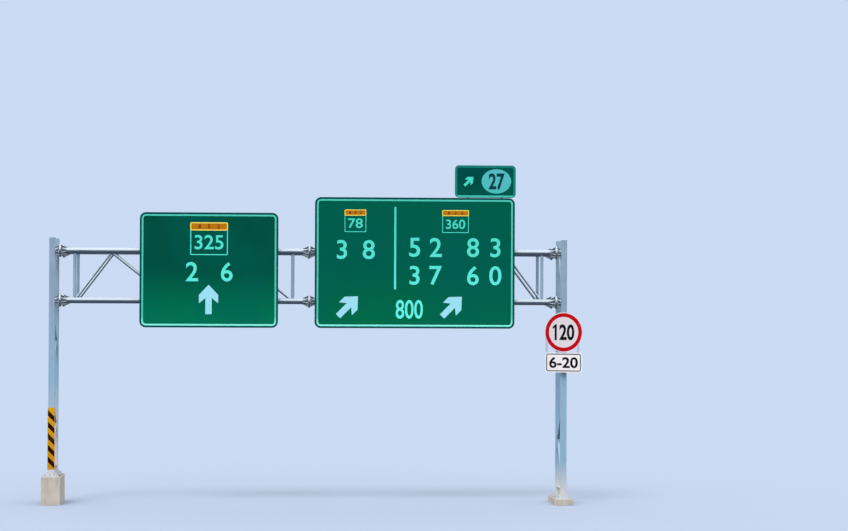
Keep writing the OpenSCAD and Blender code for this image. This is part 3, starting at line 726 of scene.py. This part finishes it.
def joists_behind(panel):
    """The X places of the joists behind a large panel, a quarter and three quarters along
    each stretch of chord between web joints."""
    low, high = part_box(panel)
    side = -1 if high.x < MID_X else 1
    choice = [MID_X + side * (FIRST_JOINT + (i / 2 + 0.25) * JOINT_PITCH) for i in range(6)]
    return [x for x in choice if low.x + JOIST_EDGE_MIN < x < high.x - JOIST_EDGE_MIN]


def fix_clamps():
    """Four bolts through each chord clamp and the joist's back flange."""
    grip = JOIST_BACK + JOIST_FLANGE_T - CLAMP_EAR_BACK
    bolt_y = -FRAME_Y - CLAMP_EAR_BACK - grip / 2
    model = bolt(CLAMP_BOLT, grip)
    for _, side in SIDES:
        places = [at(x + i * CLAMP_BOLT_X, bolt_y, z + j * CLAMP_BOLT_Z) @ ALONG_Y
                  for x in joists_behind(f"{side}_sign_panel") for z, _ in LEVELS
                  for i in (-1, 1) for j in (-1, 1)]
        keep_bolts(model, places, f"{side}_clamp_bolts")
    discard(model)


def rail_clip():
    """A clip that holds a joist's flange down on a rail, with its bolt in the rail's slot. The
    rail's back is at z = 0, and the joist's middle at x = 0."""
    width, thick, gap = 0.038, 0.005, 0.001
    # How far it lies over the flange, how far it reaches past it, and where its bolt is there
    over, past, bolt_off = 0.012, 0.026, 0.013
    flange_x = JOIST_W / 2
    low_x, high_x = flange_x - over, flange_x + past
    bpy.ops.mesh.primitive_cube_add(
        size=1, location=((low_x + high_x) / 2, 0, JOIST_FLANGE_T + thick / 2))
    clip = bpy.context.object
    clip.scale = (high_x - low_x, width, thick)
    set_in_place(clip)
    # Its foot beside the flange reaches down to the rail
    pick(clip, "FACE")
    bpy.ops.mesh.bisect(plane_co=(flange_x + gap, 0, 0), plane_no=(1, 0, 0))
    leave_edit_mode()
    pick(clip, "FACE", lambda face: face.normal.z < -0.9
         and face.calc_center_median().x > flange_x + gap)
    bpy.ops.mesh.extrude_region_move(TRANSFORM_OT_translate={"value": (0, 0, -JOIST_FLANGE_T)})
    leave_edit_mode()
    nut = nut_on_stud(CLIP_BOLT, JOIST_FLANGE_T + thick)
    nut.location.x = flange_x + bolt_off
    set_in_place(nut)
    return join([clip, nut])


def rail_heights(low, high, edge):
    """Heights of a panel's rails, spread evenly between the two next to its edges."""
    first, last = low + edge, high - edge
    count = ceil((last - first) / RAIL_PITCH_MAX)
    return [first + (last - first) * i / count for i in range(count + 1)]


def fix_rails():
    """Two clips wherever a joist crosses a rail."""
    model = rail_clip()
    left_z = rail_heights(*heights("left_sign_panel"), RAIL_EDGE)
    right_z = rail_heights(*heights("right_sign_panel"), RAIL_EDGE)
    tab_z = rail_heights(*heights("exit_tab_panel"), TAB_RAIL_EDGE)
    tab_joists = [middle("exit_tab_panel").x + s * TAB_JOIST_OFF for s in (-1, 1)]
    # The tab's joists also cross the large panel's rails, down to 50 mm above their feet
    tab_z += [z for z in right_z if z > heights("exit_tab_joists")[0] + 0.050]
    crossings = {
        "left": [(x, z) for x in joists_behind("left_sign_panel") for z in left_z],
        "right": [(x, z) for x in joists_behind("right_sign_panel") for z in right_z],
        "tab": [(x, z) for x in tab_joists for z in tab_z],
    }
    for name, spots in crossings.items():
        places = [at(x, RAIL_BACK_Y, z) @ BACK_ALONG_Y @ turned(turn, "Z")
                  for x, z in spots for turn in (0, pi)]
        keep_bolts(model, places, f"{name}_rail_clips")
    discard(model)


def fix_speed_sign():
    """Bolts through the post clamps' ears, nuts in the arms on the rails' bolts, and bolts
    through the arms' backs into the wedges."""
    post = at(RIGHT_X, -FRAME_Y, 0)
    sign = post @ turned(-SPEED_TURN, "Z")
    spots = [(s, z) for z in SPEED_ARM_Z for s in (-1, 1)]
    grip = POST_CLAMP_FRONT - POST_CLAMP_EAR_BACK
    model = bolt(CLAMP_BOLT, grip)
    places = [post @ at(s * POST_CLAMP_BOLT_X, -POST_CLAMP_EAR_BACK - grip / 2, z) @ ALONG_Y
              for s, z in spots]
    keep_bolts(model, places, "speed_clamp_bolts")
    discard(model)
    model = nut_on_stud(CLIP_BOLT, 0.0)
    front = SPEED_ARM_BACK + SPEED_ARM_DEPTH - SPEED_ARM_WALL
    back = SPEED_ARM_BACK + SPEED_ARM_WALL
    places = [sign @ at(SPEED_FRAME_SHIFT + s * SPEED_RAIL_OFF, -front, z) @ BACK_ALONG_Y
              for s, z in spots]
    places += [sign @ at(s * POST_W / 4, -back, z) @ ALONG_Y for s, z in spots]
    keep_bolts(model, places, "speed_arm_bolts")
    discard(model)


fix_flanges()
fix_base_plates()
fix_clamps()
fix_rails()
fix_speed_sign()


# Welds. A bead is a ring that is pushed along its tube onto what the tube lands on

# Half the width of a bead on a web or bracing tube and on a chord, and how far outside the
# former its middle is
TUBE_BEAD = 0.006
CHORD_BEAD = 0.008
BEAD_OUT = 0.001


def bead(tube_r, angle, body_r):
    """A weld bead where a tube lands at that angle on a round body of radius body_r, or on a
    flat face where that is 0. The tube runs along Z from the body's axis or the face, and the
    body leans over in the XZ plane."""
    bpy.ops.mesh.primitive_torus_add(
        major_segments=28, minor_segments=5, major_radius=tube_r + BEAD_OUT,
        minor_radius=TUBE_BEAD)
    piece = bpy.context.object
    for vertex in piece.data.vertices:
        around = atan2(vertex.co.y, vertex.co.x)
        out = sqrt(body_r**2 - (tube_r * sin(around)) ** 2) if body_r else 0.0
        vertex.co.z += (out - tube_r * cos(around) * cos(angle)) / sin(angle)
    return piece


def aim(place, along, body):
    """The place of a tube's bead: Z along the tube, and the body in the XZ plane."""
    z = along.normalized()
    x = (z * body.dot(z) - body).normalized()
    turn = Matrix((x, z.cross(x), z)).transposed().to_4x4()
    return at(*place) @ turn


def beads_on(runs, body, body_r):
    """One bead at each end of each tube, between bodies that run in that direction."""
    beads = []
    for start, end, radius in runs:
        for place, far in ((start, end), (end, start)):
            along = far - place
            piece = bead(radius, along.angle(body), body_r)
            piece.data.transform(aim(place, along, body))
            beads.append(piece)
    return join(beads)


def web_runs(xs, y):
    """The tubes of one web, from chord axis to chord axis. The diagonals meet on the bottom
    chord's axis and a little below the top chord's."""
    runs = [(Vector((xs[i], y, LOW_Z)), Vector((xs[i], y, HIGH_Z)), VERTICAL_R)
            for i in UPRIGHTS]
    for i in range(len(xs) - 1):
        lower, upper = (i, i + 1) if i % 2 == 0 else (i + 1, i)
        foot = Vector((xs[lower], y, LOW_Z))
        meeting = Vector((xs[upper], y, HIGH_Z - TOP_JOINT_DROP))
        head = foot + (meeting - foot) * (HIGH_Z - LOW_Z) / (meeting.z - foot.z)
        runs.append((foot, head, DIAGONAL_R))
    return runs


def level_runs(xs, z):
    """The struts and diagonals between the front and rear chords at one level."""
    runs = [(Vector((xs[i], -FRAME_Y, z)), Vector((xs[i], FRAME_Y, z)), LATERAL_R)
            for i in UPRIGHTS]
    for i in range(len(xs) - 1):
        y = -FRAME_Y if i % 2 == 0 else FRAME_Y
        runs.append((Vector((xs[i], y, z)), Vector((xs[i + 1], -y, z)), LATERAL_R))
    return runs


def weld_truss():
    """Beads round both ends of every web tube and of every tube in the level bracing."""
    chord = Vector((1, 0, 0))
    joints = [END_JOINT] + [FIRST_JOINT + i * JOINT_PITCH for i in (3, 2, 1, 0)]
    for way, side in SIDES:
        xs = [MID_X + way * off for off in joints]
        for y, depth in FRAMES:
            keep(beads_on(web_runs(xs, y), chord, CHORD_R), f"{side}_{depth}_web_welds",
                 PAINT)
        for z, level in LEVELS:
            keep(beads_on(level_runs(xs, z), chord, CHORD_R), f"{side}_{level}_bracing_welds",
                 PAINT)


def leg_runs(x, plinth_top):
    """The struts and diagonals of one leg, from face to face of its posts."""
    low = plinth_top + BASE_PLATE_T + LEG_STRUT_RISE
    rise = (LOW_Z - low) / LEG_BAYS
    levels = [low + i * rise for i in range(LEG_BAYS + 1)] + [HIGH_Z]
    axes = [(-FRAME_Y, z, FRAME_Y, z, LEG_STRUT_R) for z in (low, LOW_Z, HIGH_Z)]
    for i in range(LEG_BAYS + 1):
        y = -FRAME_Y if i % 2 == 0 else FRAME_Y
        axes.append((y, levels[i], -y, levels[i + 1], LEG_DIAGONAL_R))
    runs = []
    for start_y, start_z, end_y, end_z, radius in axes:
        start, end = Vector((x, start_y, start_z)), Vector((x, end_y, end_z))
        cut = (end - start) * (POST_W / 2) / (2 * FRAME_Y)
        runs.append((start + cut, end - cut, radius))
    return runs


def weld_legs():
    """Beads round both ends of the tubes between a front and a rear post."""
    for x, top, side in LEGS:
        keep(beads_on(leg_runs(x, top), Vector((0, 0, 1)), 0), f"{side}_leg_bracing_welds",
             PAINT)


def weld_chord_ends():
    """Round beads where the chords and their stubs meet flanges and posts."""
    bpy.ops.mesh.primitive_torus_add(
        major_segments=32, minor_segments=6, major_radius=CHORD_R, minor_radius=CHORD_BEAD,
        rotation=(0, pi / 2, 0))
    model = bpy.context.object
    set_in_place(model)
    for way, side in SIDES:
        flange_x = LEFT_FLANGE_X if way < 0 else RIGHT_FLANGE_X
        xs = [MID_X + way * FLANGE_T, flange_x - way * FLANGE_T, flange_x + way * FLANGE_T,
              flange_x + way * STUB_LEN]
        places = [at(x, y, z) for x in xs for y, _ in FRAMES for z, _ in LEVELS]
        keep(repeat(model, places), f"{side}_chord_end_welds", PAINT)
    discard(model)


def weld_post_feet():
    """Fillet welds round the feet of the posts."""
    leg, upper_edge = 0.012, 0.001
    half = POST_W / 2
    bpy.ops.mesh.primitive_cone_add(
        vertices=4, radius1=(half + leg) * sqrt(2), radius2=(half + upper_edge) * sqrt(2),
        depth=leg, rotation=(0, 0, pi / 4), location=(0, 0, leg / 2))
    model = bpy.context.object
    set_in_place(model)
    pick(model, "EDGE", lambda edge: abs(edge.verts[0].co.z - edge.verts[1].co.z) > leg / 2)
    bpy.ops.mesh.bevel(offset=POST_CORNER, segments=4, affect="EDGES")
    leave_edit_mode()
    for x, top, side in LEGS:
        places = [at(x, y, top + BASE_PLATE_T) for y, _ in FRAMES]
        paint = DUSTY_PAINT if side == "left" else PAINT
        keep(repeat(model, places), f"{side}_post_foot_welds", paint)
    discard(model)


weld_truss()
weld_legs()
weld_chord_ends()
weld_post_feet()


# Signs. Their films are drawn flat, X to the right and Y up, and laid on the sign's face

# Borders of the large panels, with their outer corner radius
BORDER_IN = 0.064
BORDER_LINE = 0.053
BORDER_CORNER = 0.136
PANEL_CORNER = 0.200
# Height of the large numerals
NUMERAL_H = 0.620


def face_of(panel):
    """Where a panel's lower left corner is, with Z out of its face."""
    return at(*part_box(panel)[0]) @ ALONG_Y


def size_of(panel):
    low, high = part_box(panel)
    return high.x - low.x, high.z - low.z


def speed_face_of(node):
    """Where the middle of the disc or plate is, with Z out of its face."""
    return at(*middle(node)) @ turned(-SPEED_TURN, "Z") @ ALONG_Y @ at(0, 0, SHEET_T / 2)


def lay_film(piece, face, name, film, layer=0):
    """Gives a flat outline its thickness and lays it on a sign's face. Layer 1 lies on layer 0,
    and so on."""
    set_in_place(piece)
    thicken(piece, FILM, 1.0)
    piece.data.transform(face @ at(0, 0, layer * FILM))
    keep(piece, name, film)


def plate_outline(x, y, width, height, corner):
    """A flat rectangle with round corners, centred on x and y."""
    bpy.ops.mesh.primitive_plane_add(size=1, location=(x, y, 0))
    piece = bpy.context.object
    piece.scale = (width, height, 1)
    set_in_place(piece)
    if corner:
        pick(piece, "VERT")
        bpy.ops.mesh.bevel(offset=corner, segments=8, affect="VERTICES")
        leave_edit_mode()
    return piece


def hollow(piece, line):
    """Leaves only a line of that width inside a flat outline."""
    pick(piece, "FACE")
    bpy.ops.mesh.inset(thickness=line)
    bpy.ops.mesh.delete(type="FACE")
    leave_edit_mode()
    return piece


def line_frame(x, y, width, height, corner, line):
    """A line of that width inside a rectangle with round corners."""
    return hollow(plate_outline(x, y, width, height, corner), line)


def outline(points):
    """A flat shape with a corner at each point, given anticlockwise."""
    bpy.ops.mesh.primitive_circle_add(vertices=len(points), fill_type="NGON")
    piece = bpy.context.object
    for vertex, point in zip(piece.data.vertices, points):
        vertex.co = (point[0], point[1], 0)
    return piece


def number(text, x, y, height, width=None, stroke=0.012):
    """A number of that height centred on x and y, as wide as its digits are or as is given,
    whose strokes are thickened before it is brought to its size."""
    bpy.ops.object.text_add()
    piece = bpy.context.object
    piece.data.body = text
    piece.data.offset = stroke
    piece.data.resolution_u = 6
    bpy.ops.object.convert(target="MESH")
    piece = bpy.context.object
    xs = [vertex.co.x for vertex in piece.data.vertices]
    ys = [vertex.co.y for vertex in piece.data.vertices]
    tall = height / (max(ys) - min(ys))
    wide = width / (max(xs) - min(xs)) if width else tall
    scale = Matrix.Diagonal((wide, tall, 1, 1))
    centre = at(-(min(xs) + max(xs)) / 2, -(min(ys) + max(ys)) / 2, 0)
    piece.data.transform(at(x, y, 0) @ scale @ centre)
    return piece


def numeral_one(x, y, height, bar):
    """A plain 1 whose upright is centred on x and y, with a flag at its upper left."""
    top, foot = y + height / 2, y - height / 2
    left, right, tip = x - bar / 2, x + bar / 2, x - 1.5 * bar
    return outline([(left, foot), (right, foot), (right, top), (left + 0.3 * bar, top),
                    (tip, top - 1.2 * bar), (tip, top - 2.1 * bar), (left, top - 1.5 * bar)])


def arrow(x, y, turn, size=1.0):
    """An arrow with its tip at x and y, that points up before it is turned clockwise."""
    half = [(0.31, -0.33), (0.31, -0.60), (0.103, -0.43), (0.103, -0.953)]
    points = [(0, 0)] + [(-a, b) for a, b in half] + [(a, b) for a, b in reversed(half)]
    piece = outline(points)
    piece.data.transform(at(x, y, 0) @ turned(-turn, "Z") @ Matrix.Scale(size, 4))
    return piece


def shield(face, name, x, y, size, line, band, text, text_box):
    """A route shield: an outline with an orange band along its top, three small digits on the
    band and a number below. The number's box is its height above y, its width and height."""
    width, height = size
    corner = 1.2 * line
    lay_film(line_frame(x, y, width, height, corner, line), face, f"{name}_outline", LEGEND)
    band_y = y + (height - band) / 2
    lay_film(plate_outline(x, band_y, width, band, corner), face, f"{name}_band", ORANGE, 1)
    lay_film(line_frame(x, band_y, width, band, corner, line), face, f"{name}_band_edge",
             BAND_EDGE, 2)
    digits = [number(digit, x + i * width / 4, band_y, 0.5 * band, stroke=0.024)
              for i, digit in zip((-1, 0, 1), "852")]
    lay_film(join(digits), face, f"{name}_band_number", BAND_DARK, 2)
    rise, text_width, text_height = text_box
    lay_film(number(text, x, y + rise, text_height, text_width), face, f"{name}_number", LEGEND)


def large_border(panel, name):
    """The border line of a large panel and the darker rim film outside it."""
    face = face_of(panel)
    width, height = size_of(panel)
    line = line_frame(width / 2, height / 2, width - 2 * BORDER_IN, height - 2 * BORDER_IN,
                      BORDER_CORNER, BORDER_LINE)
    lay_film(line, face, f"{name}_border", BORDER)
    rim = line_frame(width / 2, height / 2, width, height, PANEL_CORNER, BORDER_IN)
    lay_film(rim, face, f"{name}_rim_film", RIM_GREEN)


def lay_numerals(face, name, rows):
    """Large numerals, in rows of digits, their x and the row's y, joined into one film."""
    digits = [number(digit, x, y, NUMERAL_H)
              for text, xs, y in rows for digit, x in zip(text, xs)]
    lay_film(join(digits), face, name, LEGEND)


def letter_left_panel():
    large_border("left_sign_panel", "left_sign")
    face = face_of("left_sign_panel")
    shield(face, "left_shield", 2.233, 2.874, size=(1.214, 1.060), line=0.032, band=0.265,
           text="325", text_box=(-0.112, 0.930, 0.468))
    lay_numerals(face, "left_sign_numerals", [("26", (1.687, 2.810), 1.807)])
    lay_film(arrow(2.226, 1.387, 0), face, "left_sign_arrow", ARROW_FILM)


def letter_right_panel():
    large_border("right_sign_panel", "right_sign")
    face = face_of("right_sign_panel")
    shield(face, "narrow_shield", 1.312, 3.482, size=(0.702, 0.730), line=0.024, band=0.196,
           text="78", text_box=(-0.080, 0.480, 0.315))
    shield(face, "wide_shield", 4.565, 3.475, size=(0.864, 0.738), line=0.024, band=0.192,
           text="360", text_box=(-0.086, 0.630, 0.310))
    divider = plate_outline(2.606, 2.601, width=0.065, height=2.674, corner=0)
    lay_film(divider, face, "right_sign_divider", LEGEND)
    columns = (3.238, 3.925, 5.138, 5.868)
    lay_numerals(face, "right_sign_far_numerals",
                 [("5283", columns, 2.630), ("3760", columns, 1.720)])
    lay_numerals(face, "right_sign_near_numerals", [("38", (0.878, 1.749), 2.550)])
    distance = number("800", 3.071, 0.618, height=0.609, width=0.885)
    lay_film(distance, face, "right_sign_distance", LEGEND)
    for x, side in ((1.404, "left"), (4.780, "right")):
        lay_film(arrow(x, 1.033, pi / 4, size=0.955), face, f"right_sign_{side}_arrow",
                 ARROW_FILM)


def letter_tab():
    """A border with a bright line on its foot, an arrow, and a number on an oval."""
    face = face_of("exit_tab_panel")
    width, height = size_of("exit_tab_panel")
    border = line_frame(width / 2, height / 2, width - 0.002, height - 0.002, corner=0.130,
                        line=0.076)
    lay_film(border, face, "exit_tab_border", TAB_BORDER)
    low_line = plate_outline(width / 2, 0.053, width - 0.160, height=0.034, corner=0.012)
    lay_film(low_line, face, "exit_tab_low_line", LEGEND, 1)
    lay_film(arrow(0.600, 0.680, pi / 4, size=0.43), face, "exit_tab_arrow", LEGEND)
    bpy.ops.mesh.primitive_circle_add(vertices=48, fill_type="NGON", location=(1.352, 0.535, 0))
    oval = bpy.context.object
    oval.scale = (0.4815, 0.397, 1)
    lay_film(oval, face, "exit_tab_oval", TAB_FILM)
    exit_number = number("27", 1.360, 0.530, height=0.540, width=0.520, stroke=0.030)
    lay_film(exit_number, face, "exit_tab_number", TAB_DARK, 1)


def letter_speed_sign():
    """A red ring round a black number, and a bordered plate with smaller numbers below."""
    face = speed_face_of("speed_sign_disc")
    bpy.ops.mesh.primitive_circle_add(vertices=96, radius=0.624, fill_type="NGON")
    lay_film(hollow(bpy.context.object, 0.124), face, "speed_ring", RED)
    speed = join([numeral_one(-0.270, 0, height=0.520, bar=0.072),
                  number("20", 0.110, 0, height=0.520, width=0.510, stroke=0.028)])
    lay_film(speed, face, "speed_number", BLACK)
    face = speed_face_of("speed_sign_plate")
    height = size_of("speed_sign_plate")[1]
    border = line_frame(0, 0, SPEED_PLATE_W - 0.070, height - 0.070, corner=0.065, line=0.030)
    lay_film(border, face, "speed_plate_border", BLACK)
    hours = number("6-20", 0, 0, height=0.360, width=0.980, stroke=0.024)
    lay_film(hours, face, "speed_plate_hours", BLACK)


def stripe_hazard_board():
    """Five black bars that fall to the right, about 45 degrees off level."""
    face = face_of("hazard_board")
    width, height = size_of("hazard_board")
    edge, first, pitch, thick, fall = 0.014, 0.075, 0.373, 0.180, 0.212
    for i in range(5):
        top = height - first - i * pitch
        points = [(edge, top), (edge, top - thick), (width - edge, top - thick - fall),
                  (width - edge, top - fall)]
        lay_film(outline(points), face, f"hazard_bar_{i + 1}", FADED_BLACK)


letter_left_panel()
letter_right_panel()
letter_tab()
letter_speed_sign()
stripe_hazard_board()


# Small fixings on the signs


def rivet():
    """A low round rivet head with its middle at the origin, out along Z."""
    rise, chamfer = 0.002, 0.0025
    bpy.ops.mesh.primitive_cone_add(
        vertices=8, radius1=0.008, radius2=0.006, depth=rise, location=(0, 0, rise / 2))
    piece = bpy.context.object
    set_in_place(piece)
    return chamfer_end(piece, chamfer, True)


def rivet_panels():
    """Rows of rivets where the panels are fixed to their rails, 300 mm apart."""
    model = rivet()
    pitch = 0.300
    for sign, edge, green in (("left_sign", RAIL_EDGE, LEFT_GREEN),
                              ("right_sign", RAIL_EDGE, RIGHT_GREEN),
                              ("exit_tab", TAB_RAIL_EDGE, TAB_GREEN)):
        width, height = size_of(f"{sign}_panel")
        # The first and the last one are at least half a pitch from the panel's edge
        count = int((width - pitch) / pitch)
        start = (width - count * pitch) / 2
        places = [face_of(f"{sign}_panel") @ at(start + i * pitch, y, 0)
                  for y in rail_heights(0, height, edge) for i in range(count + 1)]
        keep(repeat(model, places), f"{sign}_rivets", green)
    discard(model)


def strap_hazard_board():
    """Three stainless bands round the post behind the striped board."""
    low_z, high_z = heights("hazard_board")
    thick, tall = 0.0015, 0.020
    width = POST_W + 2 * thick
    bands = []
    for share in (0.1, 0.5, 0.9):
        band = plate_outline(LEFT_X, -FRAME_Y, width, width, POST_CORNER)
        band.data.transform(at(0, 0, low_z + share * (high_z - low_z)))
        pick(band, "EDGE")
        bpy.ops.mesh.delete(type="ONLY_FACE")
        bpy.ops.mesh.select_all(action="SELECT")
        bpy.ops.mesh.extrude_region_move(TRANSFORM_OT_translate={"value": (0, 0, tall)})
        bpy.ops.mesh.select_all(action="SELECT")
        bpy.ops.mesh.normals_make_consistent(inside=False)
        leave_edit_mode()
        thicken(band, thick, -1.0)
        bands.append(band)
    keep(join(bands), "hazard_board_straps", STAINLESS)


rivet_panels()
strap_hazard_board()


# Studio: a pale floor and backdrop, a sky that is brightest overhead and one soft lamp

BACKDROP = "#CADBF3"
# Width of the floor, which lies just under the plinths
FLOOR_W = 1200.0
FLOOR_Z = -0.002
# Distances from the gantry's middle over which the floor goes over into the backdrop
FLOOR_NEAR = 9.0
FLOOR_FAR = 34.0
# Brightness of the sky at the horizon and overhead
SKY_LOW = 0.86
SKY_HIGH = 1.72
# Lamp: its strength, and in degrees how wide it is in the sky, how far it stands from overhead
# to the front, and how far it is turned to the left
LAMP_POWER = 1.3
LAMP_WIDTH = 20
LAMP_LEAN = 40
LAMP_TURN = 25


def seen_directly(tree):
    """1 for rays from the camera and for those that gloss or glass sends on."""
    paths = tree.nodes.new("ShaderNodeLightPath").outputs
    sent_on = add_node(tree, "Math", {
        0: paths["Is Glossy Ray"], 1: paths["Is Transmission Ray"]}, operation="MAXIMUM")
    return add_node(tree, "Math", {0: paths["Is Camera Ray"], 1: sent_on}, operation="MAXIMUM")


def add_floor():
    bpy.ops.mesh.primitive_plane_add(size=FLOOR_W, location=(MID_X, 0, FLOOR_Z))
    floor = bpy.context.object
    floor.name = "floor"
    set_in_place(floor)
    material, tree, place = start_material("studio_floor", Roughness=0.9, Specular_IOR_Level=0.0)
    shader = tree.nodes["Principled BSDF"]
    direct = seen_directly(tree)
    # The floor is dark to what stands on it, so that undersides keep their depth
    colour = tint(tree, linear("#505254"), direct, 1.0, "#9DA9BC")
    connect(tree, colour, shader.inputs["Base Color"])
    centred = add_node(tree, "Mapping", {"Vector": place, "Location": (-MID_X, 0, 0)})
    reach = add_node(tree, "VectorMath", {0: centred}, operation="LENGTH")
    far = add_node(tree, "MapRange", {
        "Value": reach.outputs["Value"], "From Min": FLOOR_NEAR, "From Max": FLOOR_FAR},
        interpolation_type="SMOOTHSTEP")
    far_seen = add_node(tree, "Math", {0: far, 1: direct}, operation="MULTIPLY")
    glow = add_node(tree, "Emission", {"Color": linear(BACKDROP), "Strength": 1.0})
    mixed = add_node(tree, "MixShader", {0: far_seen, 1: shader, 2: glow})
    connect(tree, mixed, tree.nodes["Material Output"].inputs["Surface"])
    floor.data.materials.append(material)


def add_sky():
    world = bpy.data.worlds.new("studio_sky")
    bpy.context.scene.world = world
    world.use_nodes = True
    tree = world.node_tree
    direction = tree.nodes.new("ShaderNodeTexCoord").outputs["Generated"]
    up = add_node(tree, "SeparateXYZ", {"Vector": direction}).outputs["Z"]
    strength = add_node(tree, "MapRange", {"Value": up, "To Min": SKY_LOW, "To Max": SKY_HIGH})
    sky = add_node(tree, "Background", {"Color": linear("#FFFFFF"), "Strength": strength})
    pale = add_node(tree, "Background", {"Color": linear(BACKDROP), "Strength": 1.0})
    mixed = add_node(tree, "MixShader", {0: seen_directly(tree), 1: sky, 2: pale})
    connect(tree, mixed, tree.nodes["World Output"].inputs["Surface"])


def add_lamp():
    """A soft lamp high in front, a little to the left."""
    turn = (radians(LAMP_LEAN), 0, radians(-LAMP_TURN))
    bpy.ops.object.light_add(type="SUN", rotation=turn)
    lamp = bpy.context.object
    lamp.data.energy = LAMP_POWER
    lamp.data.angle = radians(LAMP_WIDTH)


add_floor()
add_sky()
add_lamp()
bpy.context.scene.view_settings.view_transform = "Standard"
